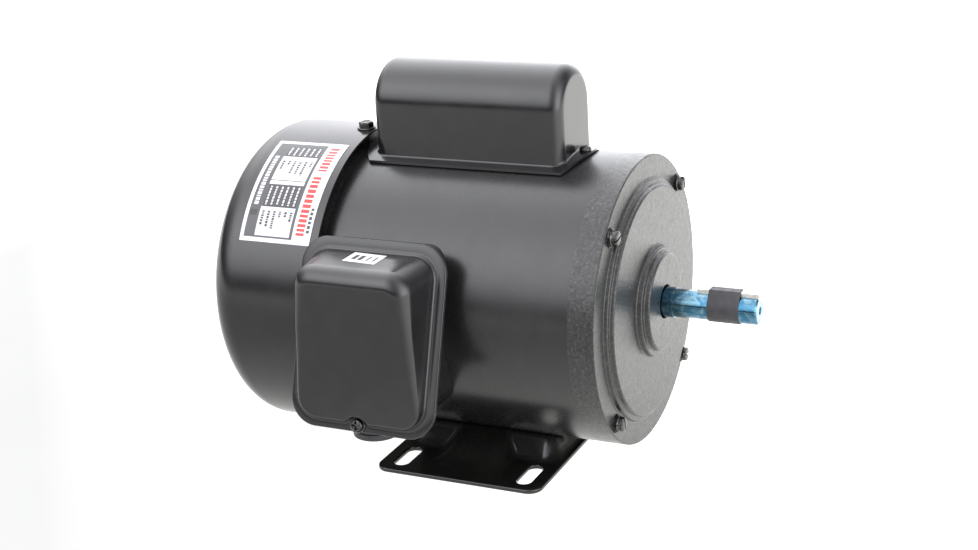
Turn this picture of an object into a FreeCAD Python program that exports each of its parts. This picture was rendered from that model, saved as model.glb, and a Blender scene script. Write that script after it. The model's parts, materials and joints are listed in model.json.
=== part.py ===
import FreeCAD, Part
import math
import os
from FreeCAD import Vector as V

# Single-phase, fan-cooled, foot-mounted electric motor, in millimetres.
# Origin: centre of the four foot slots, on the underside of the base. +Z is up, the shaft
# lies along Y with its free end towards -Y, the conduit box is on the -X side.

# ---- driving dimensions -------------------------------------------------------------
SHAFT_Z = 88.9              # shaft height above the feet
FOOT_SPACING_X = 123.8      # slot to slot across the shaft
FOOT_SPACING_Y = 76.2       # slot to slot along the shaft
SLOT_W, SLOT_L = 8.7, 24.0
BASE_HALF_X, BASE_HALF_Y = 80.6, 50.6
BASE_T = 2.6
CRADLE_X, CRADLE_Y = (45.0, 37.0), (47.5, 44.0)     # raised middle: half sizes at foot, top
RAMP_X, RAMP_Y = (61.0, 37.0), (24.0, 20.5)
CRADLE_TOP = 17.0

SHELL_R, SHELL_T = 81.4, 2.0
SHELL_FRONT, SHELL_REAR = -72.4, 76.0
SHELL_IN = SHELL_R - SHELL_T
FIT = 0.05                  # radial clearance of a fixed fit between separate pieces

RIM_FACE = -87.1            # drive bell: face of the rim, of the raised disc, of the hub
DISC_FACE = -91.8
HUB_FACE = -98.0
RIM_INNER_R, DISC_R = 68.2, 64.4        # foot and top of the two steps up to the disc
HUB_FOOT_R, HUB_R = 31.4, 27.0          # foot and top of the two steps up to the hub
SPIGOT_IN_R = 77.2                      # inside of both end bells' rims
BOLT_CIRCLE_R, BOLT_R = 74.5, 2.4
BOLT_ANGLES = (45, 135, 225, 315)
REAR_SPIGOT_FRONT, REAR_BELL_BACK = 73.5, 100.0

SHAFT_END, SHAFT_SHOULDER = -151.5, -104.0
SHAFT_R, SEAT_R, CORE_SEAT_R, MID_R, FAN_SEAT_R = 7.9375, 8.5, 12.0, 10.0, 7.0
KEY_W, KEY_TOP, KEY_START = 4.76, 10.07, -117.0
SLEEVE_FROM, SLEEVE_TO, SLEEVE_T = -141.5, -123.8, 0.7

BEARING_R, BEARING_W = 20.0, 12.0
BALL_PITCH_R, BALL_R, BALL_COUNT = 14.25, 3.3, 8
GROOVE_R = 3.4
SHIELD_IN_R, SHIELD_T = 12.1, 0.5
BEARING_CENTRES = {"front": -88.0, "rear": 94.0}

CORE_FRONT, CORE_REAR = -42.0, 34.0
BORE_R, AIR_GAP = 45.0, 0.4
STATOR_SLOTS, SLOT_IN_R, SLOT_OUT_R = 36, 46.3, 62.0
ROTOR_BARS, BAR_CIRCLE_R, BAR_R = 28, 40.6, 2.2

PIVOT_R, PIVOT_Y = 29.0, 68.5           # governor weight pins
SWITCH_PIVOT_Y, SWITCH_PIVOT_Z = 77.0, SHAFT_Z - 50.0
CONTACT_Z = SHAFT_Z - 38.0
SWITCH_SCREW_X, SWITCH_SCREW_Z = 22.0, SHAFT_Z - 48.0

FAN_COVER_R, FAN_COVER_T = 90.0, 1.2
FAN_COVER_FRONT, FAN_COVER_BACK = 75.3, 151.6
SHOULDER_Y, SHOULDER_R = 22.2, 31.4     # half axes of the cover's elliptical shoulder
COVER_SCREW_Y = 81.8
COVER_SCREW_ANGLES = (92, 212, 332)     # from +X towards +Z

CAP_HALF_W, CAP_T = 23.5, 1.2
CAP_FRONT, CAP_REAR = -48.7, 66.0
CAP_ARCH_Z = SHAFT_Z + 108.3            # centre of the rounded top
CAP_END_FILLET = 7.0
CAP_FLANGE_R, CAP_FLANGE_T, CAP_FLANGE_HALF_W = 82.2, 1.3, 28.4
CAP_SCREW_Y = (-53.4, 71.6)
CAP_LOW_Z = SHAFT_Z + 70.0              # below every part of the shell under the cover
CAN_R, CAN_Z, CAN_FRONT, CAN_REAR = 18.2, SHAFT_Z + 104.0, -36.0, 50.0

BOX_LEAN = math.radians(18.7)           # the conduit cover's flange leans back at the top
BOX_X, BOX_Y = -99.4, 36.4              # centre of the flange's outer face
FLANGE_W, FLANGE_H, FLANGE_R = 88.4, 104.1, 16.0
COVER_FLANGE_T, GASKET_T, BASE_FLANGE_T = 1.4, 1.0, 1.2
COVER_FACE_X = -117.2
COVER_T = 1.3
FLANGE_UP = 1.5                         # centre of the flange above shaft height, along it
BOX_SCREW = (1.2, -46.6)                # along Y and up the flange, from shaft height
LEAD_HOLE_Y, LEAD_HOLE_R = 46.0, 10.0
HUB_X, HUB_BOTTOM = -96.3, 36.5
KNOCKOUT_R = 10.4
STUD_Z, STUD_Y = SHAFT_Z + 20.0, (26.0, 35.0, 45.0, 54.0)
LEAN_UP = V(math.sin(BOX_LEAN), 0, math.cos(BOX_LEAN))
LEAN_OUT = V(-math.cos(BOX_LEAN), 0, math.sin(BOX_LEAN))

AXIS_POINT = V(0, 0, SHAFT_Z)
AXIS_Y = V(0, 1, 0)


# ---- helpers ------------------------------------------------------------------------
def export(node, *solids):
    shape = solids[0] if len(solids) == 1 else Part.makeCompound(list(solids))
    shape.exportStep("parts/" + node + ".step")


def polar(radius, degrees, y):
    """Point at a radius and angle about the shaft, from +X towards +Z."""
    angle = math.radians(degrees)
    return V(radius * math.cos(angle), y, SHAFT_Z + radius * math.sin(angle))


def turned(shape, degrees):
    """Copy turned about the shaft, from +X towards +Z."""
    copy = shape.copy()
    copy.rotate(AXIS_POINT, V(0, -1, 0), degrees)
    return copy


def rounded_wire(corners, radii):
    """Closed wire through flat corners, each with its own radius (0 is sharp)."""
    if not isinstance(radii, (list, tuple)):
        radii = [radii] * len(corners)
    stops = []
    for i, corner in enumerate(corners):
        if radii[i] == 0:
            stops.append((corner, None, corner))
            continue
        before = (corners[i - 1] - corner).normalize()
        after = (corners[(i + 1) % len(corners)] - corner).normalize()
        half = before.getAngle(after) / 2
        reach = radii[i] / math.tan(half)
        middle = (before + after).normalize() * (radii[i] / math.sin(half) - radii[i])
        stops.append((corner + before * reach, corner + middle, corner + after * reach))
    edges = []
    for i, (start, middle, end) in enumerate(stops):
        if middle is not None:
            edges.append(Part.Arc(start, middle, end).toShape())
        following = stops[(i + 1) % len(stops)][0]
        if end.distanceToPoint(following) > 1e-6:
            edges.append(Part.makeLine(end, following))
    return Part.Wire(edges)


def prism(corners, direction, radii=0):
    return Part.Face(rounded_wire(corners, radii)).extrude(direction)


def lathe(outline, radii=0):
    """Ring about the shaft axis from its (y, r) section."""
    corners = [V(r, y, SHAFT_Z) for y, r in outline]
    return Part.Face(rounded_wire(corners, radii)).revolve(AXIS_POINT, AXIS_Y, 360)


def ring(inner, outer, y0, y1):
    return lathe([(y0, inner), (y0, outer), (y1, outer), (y1, inner)])


def disc(radius, y0, y1):
    return Part.makeCylinder(radius, y1 - y0, V(0, y0, SHAFT_Z), AXIS_Y)


def box(x0, x1, y0, y1, z0, z1):
    return Part.makeBox(x1 - x0, y1 - y0, z1 - z0, V(x0, y0, z0))


def sector(inner, outer, a0, a1, y0, y1):
    """Piece of a ring about the shaft between two angles in degrees."""
    mid = (a0 + a1) / 2
    edges = [
        Part.Arc(polar(outer, a0, y0), polar(outer, mid, y0), polar(outer, a1, y0)).toShape(),
        Part.makeLine(polar(outer, a1, y0), polar(inner, a1, y0)),
        Part.Arc(polar(inner, a1, y0), polar(inner, mid, y0), polar(inner, a0, y0)).toShape(),
        Part.makeLine(polar(inner, a0, y0), polar(outer, a0, y0)),
    ]
    return Part.Face(Part.Wire(edges)).extrude(V(0, y1 - y0, 0))


def wire_tube(points, radius, bend):
    """Round wire along straight runs joined by arcs."""
    edges, start = [], points[0]
    for i in range(1, len(points) - 1):
        before = (points[i - 1] - points[i]).normalize()
        after = (points[i + 1] - points[i]).normalize()
        half = before.getAngle(after) / 2
        reach = bend / math.tan(half)
        enter, leave = points[i] + before * reach, points[i] + after * reach
        apex = points[i] + (before + after).normalize() * (bend / math.sin(half) - bend)
        edges += [Part.makeLine(start, enter), Part.Arc(enter, apex, leave).toShape()]
        start = leave
    edges.append(Part.makeLine(start, points[-1]))
    path = Part.Wire(edges)
    section = Part.Wire(Part.makeCircle(radius, points[0], points[1] - points[0]))
    return path.makePipeShell([section], True, False)


def screw(seat, direction, head_r, head_h, shank_r, length, slot_w=0.0):
    """Screw whose head sits on a seat point; direction is the way the head faces."""
    head = Part.makeCylinder(head_r, head_h, seat, direction)
    body = head.fuse(Part.makeCylinder(shank_r, length, seat, direction * -1))
    if slot_w:
        side = direction.cross(V(0, 0, 1))
        if side.Length < 0.1:
            side = V(1, 0, 0)
        side.normalize()
        across = direction.cross(side)
        corner = seat + direction * (head_h * 0.55) + side * (-slot_w / 2) + across * -head_r
        corners = [corner, corner + side * slot_w,
                   corner + side * slot_w + across * (2 * head_r), corner + across * (2 * head_r)]
        body = body.cut(prism(corners, direction * head_h))
    return body


def hexagon(centre, corner_r, length):
    """Six-sided prism that starts at a centre point and runs along a level vector."""
    corner = V(0, 0, corner_r)
    turn = FreeCAD.Rotation(length, 60)
    corners = []
    for _ in range(6):
        corners.append(centre + corner)
        corner = turn.multVec(corner)
    return prism(corners, length)


# ---- stator frame -------------------------------------------------------------------
def stator_shell():
    tube = ring(SHELL_IN, SHELL_R, SHELL_FRONT, SHELL_REAR)
    lead_hole = Part.makeCylinder(LEAD_HOLE_R, 30, V(-95, LEAD_HOLE_Y, SHAFT_Z), V(1, 0, 0))
    capacitor_hole = Part.makeCylinder(6, 20, V(0, 57.5, SHAFT_Z + 72), V(0, 0, 1))
    tube = tube.cut(lead_hole).cut(capacitor_hole)
    for y in CAP_SCREW_Y:
        tube = tube.cut(Part.makeCylinder(1.7, 20, V(0, y, SHAFT_Z + 70), V(0, 0, 1)))
    export("stator_shell", tube)


def two_steps(y0, r0, y1, r1):
    """Section corners of a face that rises to a smaller one by two steps and a ledge."""
    ledge_y = (y0 + y1) / 2
    return [(y0, r0), (ledge_y, r0 - 0.8), (ledge_y, r1 + 0.8), (y1, r1)]


def drive_end_bell():
    """Casting with a spigot, a rim, a raised disc and a bearing hub."""
    outline = [(-67.4, SHELL_IN - FIT), (SHELL_FRONT, SHELL_IN - FIT), (SHELL_FRONT, SHELL_R),
               (RIM_FACE, SHELL_R)]
    outline += two_steps(RIM_FACE, RIM_INNER_R, DISC_FACE, DISC_R)
    outline += two_steps(DISC_FACE, HUB_FOOT_R, HUB_FACE, HUB_R)
    outline += [(HUB_FACE, SHAFT_R + 1.5), (-94.0, SHAFT_R + 1.5), (-94.0, BEARING_R),
                (-80.0, BEARING_R), (-80.0, 26.0), (-86.0, 28.0), (-86.0, 60.0),
                (-82.1, 68.0), (-82.1, SPIGOT_IN_R), (-67.4, SPIGOT_IN_R)]
    radii = [0, 0, 0, 0.8] + [1.0, 1.0, 1.0, 1.3] * 2 + [0.6] + [0] * 9
    bell = lathe(outline, radii)
    for angle in range(0, 360, 60):
        rib = box(25.0, SPIGOT_IN_R + 0.3, -86.5, -77.0, SHAFT_Z - 1.5, SHAFT_Z + 1.5)
        bell = bell.fuse(turned(rib, angle))
    for angle in BOLT_ANGLES:
        foot = polar(BOLT_CIRCLE_R, angle, -95.0)
        bell = bell.cut(Part.makeCylinder(BOLT_R + 0.35, 30, foot, AXIS_Y))
    export("drive_end_bell", bell.removeSplitter())


def rear_end_bell():
    """Casting behind the fan, with lugs tapped for the fan cover's screws."""
    outline = [
        (REAR_SPIGOT_FRONT, SHELL_IN - FIT), (SHELL_REAR, SHELL_IN - FIT), (SHELL_REAR, SHELL_R),
        (REAR_BELL_BACK, SHELL_R), (REAR_BELL_BACK, 30.0), (104.0, 28.0), (104.0, 9.0),
        (101.0, 9.0), (101.0, BEARING_R), (86.0, BEARING_R), (86.0, 26.0), (94.0, 28.0),
        (94.0, 72.0), (90.0, SPIGOT_IN_R), (REAR_SPIGOT_FRONT, SPIGOT_IN_R),
    ]
    bell = lathe(outline, [0, 0, 0, 3.0, 1.5, 1.0] + [0] * 9)
    for angle in COVER_SCREW_ANGLES:
        lug = box(79.0, FAN_COVER_R - FAN_COVER_T - FIT, COVER_SCREW_Y - 4.4, COVER_SCREW_Y + 6,
                  SHAFT_Z - 6, SHAFT_Z + 6)
        lug = lug.common(disc(FAN_COVER_R - FAN_COVER_T - FIT, SHELL_REAR, 100))
        bell = bell.fuse(turned(lug, angle))
    for angle in COVER_SCREW_ANGLES:
        tapped = Part.makeCylinder(2.15, 14, V(76, COVER_SCREW_Y, SHAFT_Z), V(1, 0, 0))
        bell = bell.cut(turned(tapped, angle))
    for angle in BOLT_ANGLES:
        foot = polar(BOLT_CIRCLE_R, angle, 85.0)
        bell = bell.cut(Part.makeCylinder(BOLT_R + 0.35, 20, foot, AXIS_Y))
    for x in (-SWITCH_SCREW_X, SWITCH_SCREW_X):
        bell = bell.cut(Part.makeCylinder(1.6, 3, V(x, 94, SWITCH_SCREW_Z), AXIS_Y))
    export("rear_end_bell", bell.removeSplitter())


def through_bolts():
    """Four long slotted bolts that clamp both end bells to the shell."""
    bolts, washers, nuts = [], [], []
    for angle in BOLT_ANGLES:
        seat = polar(BOLT_CIRCLE_R, angle, RIM_FACE - 0.9)
        bolt = screw(seat, V(0, -1, 0), 4.6, 3.9, BOLT_R, 192.0, slot_w=1.2)
        bolts.append(bolt)
        washer = Part.makeCylinder(5.3, 0.9, seat, AXIS_Y)
        washers.append(washer.cut(Part.makeCylinder(BOLT_R + FIT, 0.9, seat, AXIS_Y)))
        start = polar(BOLT_CIRCLE_R, angle, REAR_BELL_BACK)
        nut = hexagon(start, 4.6, V(0, 3.2, 0))
        nuts.append(nut.cut(Part.makeCylinder(BOLT_R + FIT, 3.2, start, AXIS_Y)))
    export("through_bolts", *bolts)
    export("through_bolt_washers", *washers)
    export("through_bolt_nuts", *nuts)


def hill(x, y, inset, low_z):
    """Raised block with four sloping sides; x and y are its half sizes at foot and top."""
    top = CRADLE_TOP
    across = [V(-x[0] + inset, -60, low_z), V(-x[1] + inset, -60, top),
              V(x[1] - inset, -60, top), V(x[0] - inset, -60, low_z)]
    along = [V(-90, -y[0] + inset, low_z), V(-90, -y[1] + inset, top),
             V(-90, y[1] - inset, top), V(-90, y[0] - inset, low_z)]
    return prism(across, V(0, 120, 0)).common(prism(along, V(180, 0, 0)))


def foot_base():
    """Pressed sheet: a slotted flat margin round a raised middle that cradles the shell."""
    corners = [V(BASE_HALF_X, BASE_HALF_Y, 0), V(-BASE_HALF_X, BASE_HALF_Y, 0),
               V(-BASE_HALF_X, -BASE_HALF_Y, 0), V(BASE_HALF_X, -BASE_HALF_Y, 0)]
    base = prism(corners, V(0, 0, BASE_T), 8.0)
    base = base.fuse(hill(CRADLE_X, CRADLE_Y, 0, 0)).fuse(hill(RAMP_X, RAMP_Y, 0, 0))
    sheet_underside = disc(SHELL_R + BASE_T, -60, 60)
    for x, y in ((CRADLE_X, CRADLE_Y), (RAMP_X, RAMP_Y)):
        base = base.cut(hill(x, y, BASE_T + 0.6, -0.2).cut(sheet_underside))
    base = base.cut(disc(SHELL_R, -60, 60))
    straight = (SLOT_L - SLOT_W) / 2
    for x in (-FOOT_SPACING_X / 2, FOOT_SPACING_X / 2):
        for y in (-FOOT_SPACING_Y / 2, FOOT_SPACING_Y / 2):
            slot = box(x - straight, x + straight, y - SLOT_W / 2, y + SLOT_W / 2, -1, 5)
            for end in (x - straight, x + straight):
                slot = slot.fuse(Part.makeCylinder(SLOT_W / 2, 6, V(end, y, -1)))
            base = base.cut(slot)
    export("foot_base", base.removeSplitter())


# ---- wound stator -------------------------------------------------------------------
def slot_outline(inner, outer, inset, y):
    """Tapered slot section on the +X side, narrower towards the bore."""
    half_in = 2.15 + (inner - SLOT_IN_R) * 0.078 - inset
    half_out = 2.15 + (outer - SLOT_IN_R) * 0.078 - inset
    return [V(inner, y, SHAFT_Z - half_in), V(outer, y, SHAFT_Z - half_out),
            V(outer, y, SHAFT_Z + half_out), V(inner, y, SHAFT_Z + half_in)]


def stator_core():
    length = V(0, CORE_REAR - CORE_FRONT, 0)
    blank = ring(BORE_R, SHELL_IN - FIT, CORE_FRONT, CORE_REAR)
    slot = prism(slot_outline(SLOT_IN_R, SLOT_OUT_R, 0, CORE_FRONT), length)
    slot = slot.fuse(box(BORE_R - 2, SLOT_IN_R + 1, CORE_FRONT, CORE_REAR,
                         SHAFT_Z - 1.2, SHAFT_Z + 1.2))
    cuts = [turned(slot, 360 * i / STATOR_SLOTS) for i in range(STATOR_SLOTS)]
    notch = disc(3.2, CORE_FRONT, CORE_REAR).translated(V(BOLT_CIRCLE_R, 0, 0))
    notch = notch.fuse(box(BOLT_CIRCLE_R, 82, CORE_FRONT, CORE_REAR,
                           SHAFT_Z - 3.2, SHAFT_Z + 3.2))
    cuts += [turned(notch, angle) for angle in BOLT_ANGLES]
    export("stator_core", blank.cut(Part.makeCompound(cuts)))


def slot_liners():
    y0, length = CORE_FRONT - 2, V(0, CORE_REAR - CORE_FRONT + 4, 0)
    outside = prism(slot_outline(SLOT_IN_R + 0.2, SLOT_OUT_R - 0.05, 0.05, y0), length)
    inside = prism(slot_outline(SLOT_IN_R - 1, SLOT_OUT_R - 0.4, 0.4, y0), length)
    liner = outside.cut(inside)
    export("slot_liners", *[turned(liner, 360 * i / STATOR_SLOTS) for i in range(STATOR_SLOTS)])


def coil(centre, half_span, inner, outer, reach):
    """One coil: two slot sides joined by an end turn at each end of the core."""
    y0, y1 = CORE_FRONT - reach, CORE_REAR + reach
    side = prism(slot_outline(inner, outer, 0.5, y0), V(0, y1 - y0, 0))
    parts = turned(side, centre - half_span).fuse(turned(side, centre + half_span))
    for start in (y0, y1 - 5.5):
        turn = sector(inner + 0.3, outer - 0.3, centre - half_span, centre + half_span,
                      start, start + 5.5)
        parts = parts.fuse(turn)
    return parts


def windings():
    main, start = [], []
    for pole in range(4):
        for step, half_span in enumerate((20, 30, 40)):
            main.append(coil(90 * pole, half_span, 54.6, 61.2, 8.0 + 6.2 * step))
        for step, half_span in enumerate((25, 35)):
            start.append(coil(90 * pole + 45, half_span, 47.4, 53.8, 9.0 + 6.2 * step))
    export("main_winding", *main)
    export("start_winding", *start)


def motor_leads():
    """Four insulated leads from the winding through the grommet to the terminals."""
    leads = []
    for side in (-1, 1):
        for level, terminal_y, plane in ((1, 5.0, -94.0), (-1, 14.0, -96.5)):
            y = LEAD_HOLE_Y + 2.6 * side
            z = SHAFT_Z + 2.6 * level
            stud_y = 40.0 + terminal_y * side
            leads.append(wire_tube([V(-61.5, y, z), V(plane, y, z),
                                    V(plane, stud_y, SHAFT_Z + 17.2)], 1.4, 3.0))
    export("motor_leads", *leads)
    grommet = Part.makeCylinder(12.5, 1.6, V(-84.6, LEAD_HOLE_Y, SHAFT_Z), V(1, 0, 0))
    grommet = grommet.fuse(Part.makeCylinder(LEAD_HOLE_R - FIT, 6.6,
                                             V(-83.0, LEAD_HOLE_Y, SHAFT_Z), V(1, 0, 0)))
    bore = Part.makeCylinder(6.4, 12, V(-86, LEAD_HOLE_Y, SHAFT_Z), V(1, 0, 0))
    export("lead_grommet", grommet.cut(bore))


# ---- rotor --------------------------------------------------------------------------
def shaft():
    outline = [
        (SHAFT_END, 0), (SHAFT_END, SHAFT_R), (SHAFT_SHOULDER, SHAFT_R),
        (SHAFT_SHOULDER, SEAT_R), (-82.0, SEAT_R), (-82.0, 10.5), (-52.0, 10.5),
        (-52.0, CORE_SEAT_R), (44.0, CORE_SEAT_R), (44.0, MID_R), (88.0, MID_R),
        (88.0, SEAT_R), (105.0, SEAT_R), (105.0, FAN_SEAT_R), (128.0, FAN_SEAT_R), (128.0, 0),
    ]
    solid = lathe(outline)
    nose = [e for e in solid.Edges if abs(e.BoundBox.YMin - SHAFT_END) < 1e-6
            and abs(e.BoundBox.YMax - SHAFT_END) < 1e-6 and e.BoundBox.XLength > 10]
    solid = solid.makeChamfer(0.9, nose)
    keyseat = box(-KEY_W / 2, KEY_W / 2, SHAFT_END - 1, KEY_START,
                  SHAFT_Z + KEY_TOP - KEY_W, SHAFT_Z + 15)
    solid = solid.cut(keyseat)
    centre = Part.makeCone(2.4, 0.6, 3.2, V(0, SHAFT_END, SHAFT_Z), AXIS_Y)
    export("shaft", solid.cut(centre))


def shaft_key_and_sleeve():
    key = box(-KEY_W / 2, KEY_W / 2, SHAFT_END, KEY_START,
              SHAFT_Z + KEY_TOP - KEY_W, SHAFT_Z + KEY_TOP)
    export("shaft_key", key)
    y0, y1 = SLEEVE_FROM, SLEEVE_TO
    outer = disc(SHAFT_R + SLEEVE_T, y0, y1).fuse(
        box(-KEY_W / 2 - SLEEVE_T, KEY_W / 2 + SLEEVE_T, y0, y1,
            SHAFT_Z, SHAFT_Z + KEY_TOP + SLEEVE_T))
    inner = disc(SHAFT_R + FIT, y0, y1).fuse(
        box(-KEY_W / 2 - FIT, KEY_W / 2 + FIT, y0, y1, SHAFT_Z, SHAFT_Z + KEY_TOP + FIT))
    export("shaft_sleeve", outer.cut(inner).removeSplitter())


def rotor_core():
    core = ring(CORE_SEAT_R + FIT, BORE_R - AIR_GAP, CORE_FRONT, CORE_REAR)
    hole = disc(BAR_R + FIT, CORE_FRONT, CORE_REAR).translated(V(BAR_CIRCLE_R, 0, 0))
    holes = [turned(hole, 360 * i / ROTOR_BARS) for i in range(ROTOR_BARS)]
    export("rotor_core", core.cut(Part.makeCompound(holes)))


def rotor_cage():
    """Cast cage: bars through the core, an end ring and cooling vanes at each end."""
    cage = ring(32.0, 44.2, CORE_REAR, CORE_REAR + 8)
    front = ring(32.0, 44.2, CORE_FRONT - 8, CORE_FRONT)
    bar = disc(BAR_R, CORE_FRONT - 1, CORE_REAR + 1).translated(V(BAR_CIRCLE_R, 0, 0))
    pieces = [front] + [turned(bar, 360 * i / ROTOR_BARS) for i in range(ROTOR_BARS)]
    for i in range(9):
        for y0, y1 in ((CORE_REAR + 7, CORE_REAR + 14), (CORE_FRONT - 14, CORE_FRONT - 7)):
            vane = box(33.0, 43.0, y0, y1, SHAFT_Z - 1.2, SHAFT_Z + 1.2)
            pieces.append(turned(vane, 40 * i))
    export("rotor_cage", cage.multiFuse(pieces).removeSplitter())


def bearing(name, centre):
    """Deep-groove ball bearing, 17 x 40 x 12 mm; its outer race carries both shields."""
    y0, y1 = centre - BEARING_W / 2, centre + BEARING_W / 2
    groove = Part.makeTorus(BALL_PITCH_R, GROOVE_R, V(0, centre, SHAFT_Z), AXIS_Y)
    outer = ring(16.9, BEARING_R - FIT, y0, y1).cut(groove)
    inner = ring(SEAT_R + FIT, 11.6, y0, y1).cut(groove)
    ball = Part.makeSphere(BALL_R, V(BALL_PITCH_R, centre, SHAFT_Z))
    pocket = Part.makeCylinder(BALL_R + 0.15, 6, V(11.5, centre, SHAFT_Z), V(1, 0, 0))
    turns = [360 * i / BALL_COUNT for i in range(BALL_COUNT)]
    cage = ring(13.3, 15.2, centre - 4.2, centre + 4.2)
    for angle in turns:
        cage = cage.cut(turned(pocket, angle))
    for y in (y0 + 0.2, y1 - 0.2 - SHIELD_T):
        outer = outer.fuse(ring(SHIELD_IN_R, 17.5, y, y + SHIELD_T))
    export(name + "_bearing_outer_race", outer.removeSplitter())
    export(name + "_bearing_inner_race", inner)
    export(name + "_bearing_balls", *[turned(ball, a) for a in turns])
    export(name + "_bearing_cage", cage)


def wave_washer():
    """Thin wavy ring that preloads the rear bearing's outer race."""
    def edge(radius, base):
        points = []
        for i in range(36):
            point = polar(radius, 10 * i, base + 0.28 * math.cos(math.radians(30 * i)))
            points.append(point)
        curve = Part.BSplineCurve()
        curve.interpolate(points, PeriodicFlag=True)
        return curve.toShape()

    low, high = 100.31, 100.67
    inner_low, outer_low = edge(16.2, low), edge(19.6, low)
    inner_high, outer_high = edge(16.2, high), edge(19.6, high)
    pairs = ((inner_low, outer_low), (inner_high, outer_high),
             (inner_low, inner_high), (outer_low, outer_high))
    faces = [Part.makeRuledSurface(a, b) for a, b in pairs]
    solid = Part.Solid(Part.Shell(faces))
    if solid.Volume < 0:
        solid.reverse()
    export("wave_washer", solid)


def cooling_fan():
    fan = ring(FAN_SEAT_R + FIT, 13.0, 106.5, 126.5)
    blades = [ring(12.5, 72.0, 106.5, 109.0)]
    for i in range(8):
        blade = box(18.0, 72.0, 108.5, 128.0, SHAFT_Z - 1.2, SHAFT_Z + 1.2)
        blades.append(turned(blade, 45 * i))
    export("cooling_fan", fan.multiFuse(blades).removeSplitter())
    clip = ring(13.0 + FIT, 14.6, 119.0, 123.0)
    gap = box(10.0, 16.0, 118.0, 124.0, SHAFT_Z - 2, SHAFT_Z + 2)
    export("fan_clip", clip.cut(gap))


# ---- starting switch ----------------------------------------------------------------
def governor_hub():
    hub = ring(MID_R + FIT, 13.0, 50.0, 76.0).fuse(ring(12.5, 36.0, 50.0, 52.0))
    for up in (1, -1):
        for x in (-16.8, 15.2):
            z0, z1 = sorted((SHAFT_Z + up * 22.0, SHAFT_Z + up * 32.0))
            hub = hub.fuse(box(x, x + 1.6, 51.0, 71.5, z0, z1))
        pin_hole = Part.makeCylinder(1.55, 40, V(-20, PIVOT_Y, SHAFT_Z + up * PIVOT_R), V(1, 0, 0))
        hub = hub.cut(pin_hole)
    export("governor_hub", hub.removeSplitter())
    pins = [Part.makeCylinder(1.5, 36, V(-18, PIVOT_Y, SHAFT_Z + up * PIVOT_R), V(1, 0, 0))
            for up in (1, -1)]
    export("governor_pins", *pins)


def governor_weight(name, up):
    """Bell crank: heavy block forward of the pin, finger in the collar's groove."""
    centre = V(-14, PIVOT_Y, SHAFT_Z + PIVOT_R)
    boss = Part.makeCylinder(2.8, 28, centre, V(1, 0, 0))
    block = box(-14, 14, 54.0, 66.0, SHAFT_Z + 28.0, SHAFT_Z + 37.0)
    web = box(-14, 14, 65.0, 68.5, SHAFT_Z + 28.6, SHAFT_Z + 31.6)
    finger = box(-3, 3, 67.5, 69.5, SHAFT_Z + 20.0, SHAFT_Z + 28.0)
    weight = boss.fuse(block).fuse(web).fuse(finger)
    weight = weight.cut(Part.makeCylinder(1.55, 40, centre - V(5, 0, 0), V(1, 0, 0)))
    if up < 0:
        weight = turned(weight, 180)
    export(name, weight.removeSplitter())


def governor_collar():
    collar = lathe([(60.0, 15.3), (60.0, 17.0), (64.5, 17.0), (64.5, 22.0), (66.5, 22.0),
                    (66.5, 16.5), (72.0, 16.5), (72.0, 25.0), (74.0, 25.0), (74.0, 13.06),
                    (63.1, 13.06), (63.1, 15.3)])
    export("governor_collar", collar)


def governor_spring():
    """Return spring at its shortest, which the collar's mouth slides over."""
    helix = Part.makeHelix(1.75, 7.0, 14.6)
    profile = Part.Wire(Part.makeCircle(0.45, V(14.6, 0, 0), V(0, 1, 0)))
    spring = Part.Wire(helix.Edges).makePipeShell([profile], True, True)
    spring.rotate(V(0, 0, 0), V(1, 0, 0), -90)
    spring.translate(V(0, 52.5, SHAFT_Z))
    export("governor_spring", spring)


def stationary_switch():
    """Board with the fixed contact, the arm's hinge lugs and pin, and its two screws."""
    board = box(-30, 30, 80.0, 82.0, SHAFT_Z - 60.0, SHAFT_Z - 28.0)
    for x in (-SWITCH_SCREW_X, SWITCH_SCREW_X):
        board = board.fuse(Part.makeCylinder(4.0, 12.0, V(x, 82.0, SWITCH_SCREW_Z), AXIS_Y))
        board = board.cut(Part.makeCylinder(1.6, 20.0, V(x, 79.0, SWITCH_SCREW_Z), AXIS_Y))
    for x in (-9.0, 7.4):
        lug = box(x, x + 1.6, 75.0, 80.5, SWITCH_PIVOT_Z - 2, SWITCH_PIVOT_Z + 2)
        board = board.fuse(lug)
    pin_axis = V(-12, SWITCH_PIVOT_Y, SWITCH_PIVOT_Z)
    board = board.cut(Part.makeCylinder(1.03, 24, pin_axis, V(1, 0, 0)))
    rivet_hole = Part.makeCylinder(1.55, 6, V(0, 78, CONTACT_Z), AXIS_Y)
    export("switch_board", board.cut(rivet_hole).removeSplitter())
    pin_start = V(-10, SWITCH_PIVOT_Y, SWITCH_PIVOT_Z)
    export("switch_pin", Part.makeCylinder(1.0, 20, pin_start, V(1, 0, 0)))
    fixed = Part.makeCylinder(3.0, 1.2, V(0, 78.8, CONTACT_Z), AXIS_Y)
    fixed = fixed.fuse(Part.makeCylinder(1.5, 3.6, V(0, 79.5, CONTACT_Z), AXIS_Y))
    export("fixed_contact", fixed)
    screws = []
    for x in (-SWITCH_SCREW_X, SWITCH_SCREW_X):
        seat = V(x, 80.0, SWITCH_SCREW_Z)
        screws.append(screw(seat, V(0, -1, 0), 3.0, 1.8, 1.5, 16.8, slot_w=0.8))
    export("switch_screws", *screws)


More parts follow.
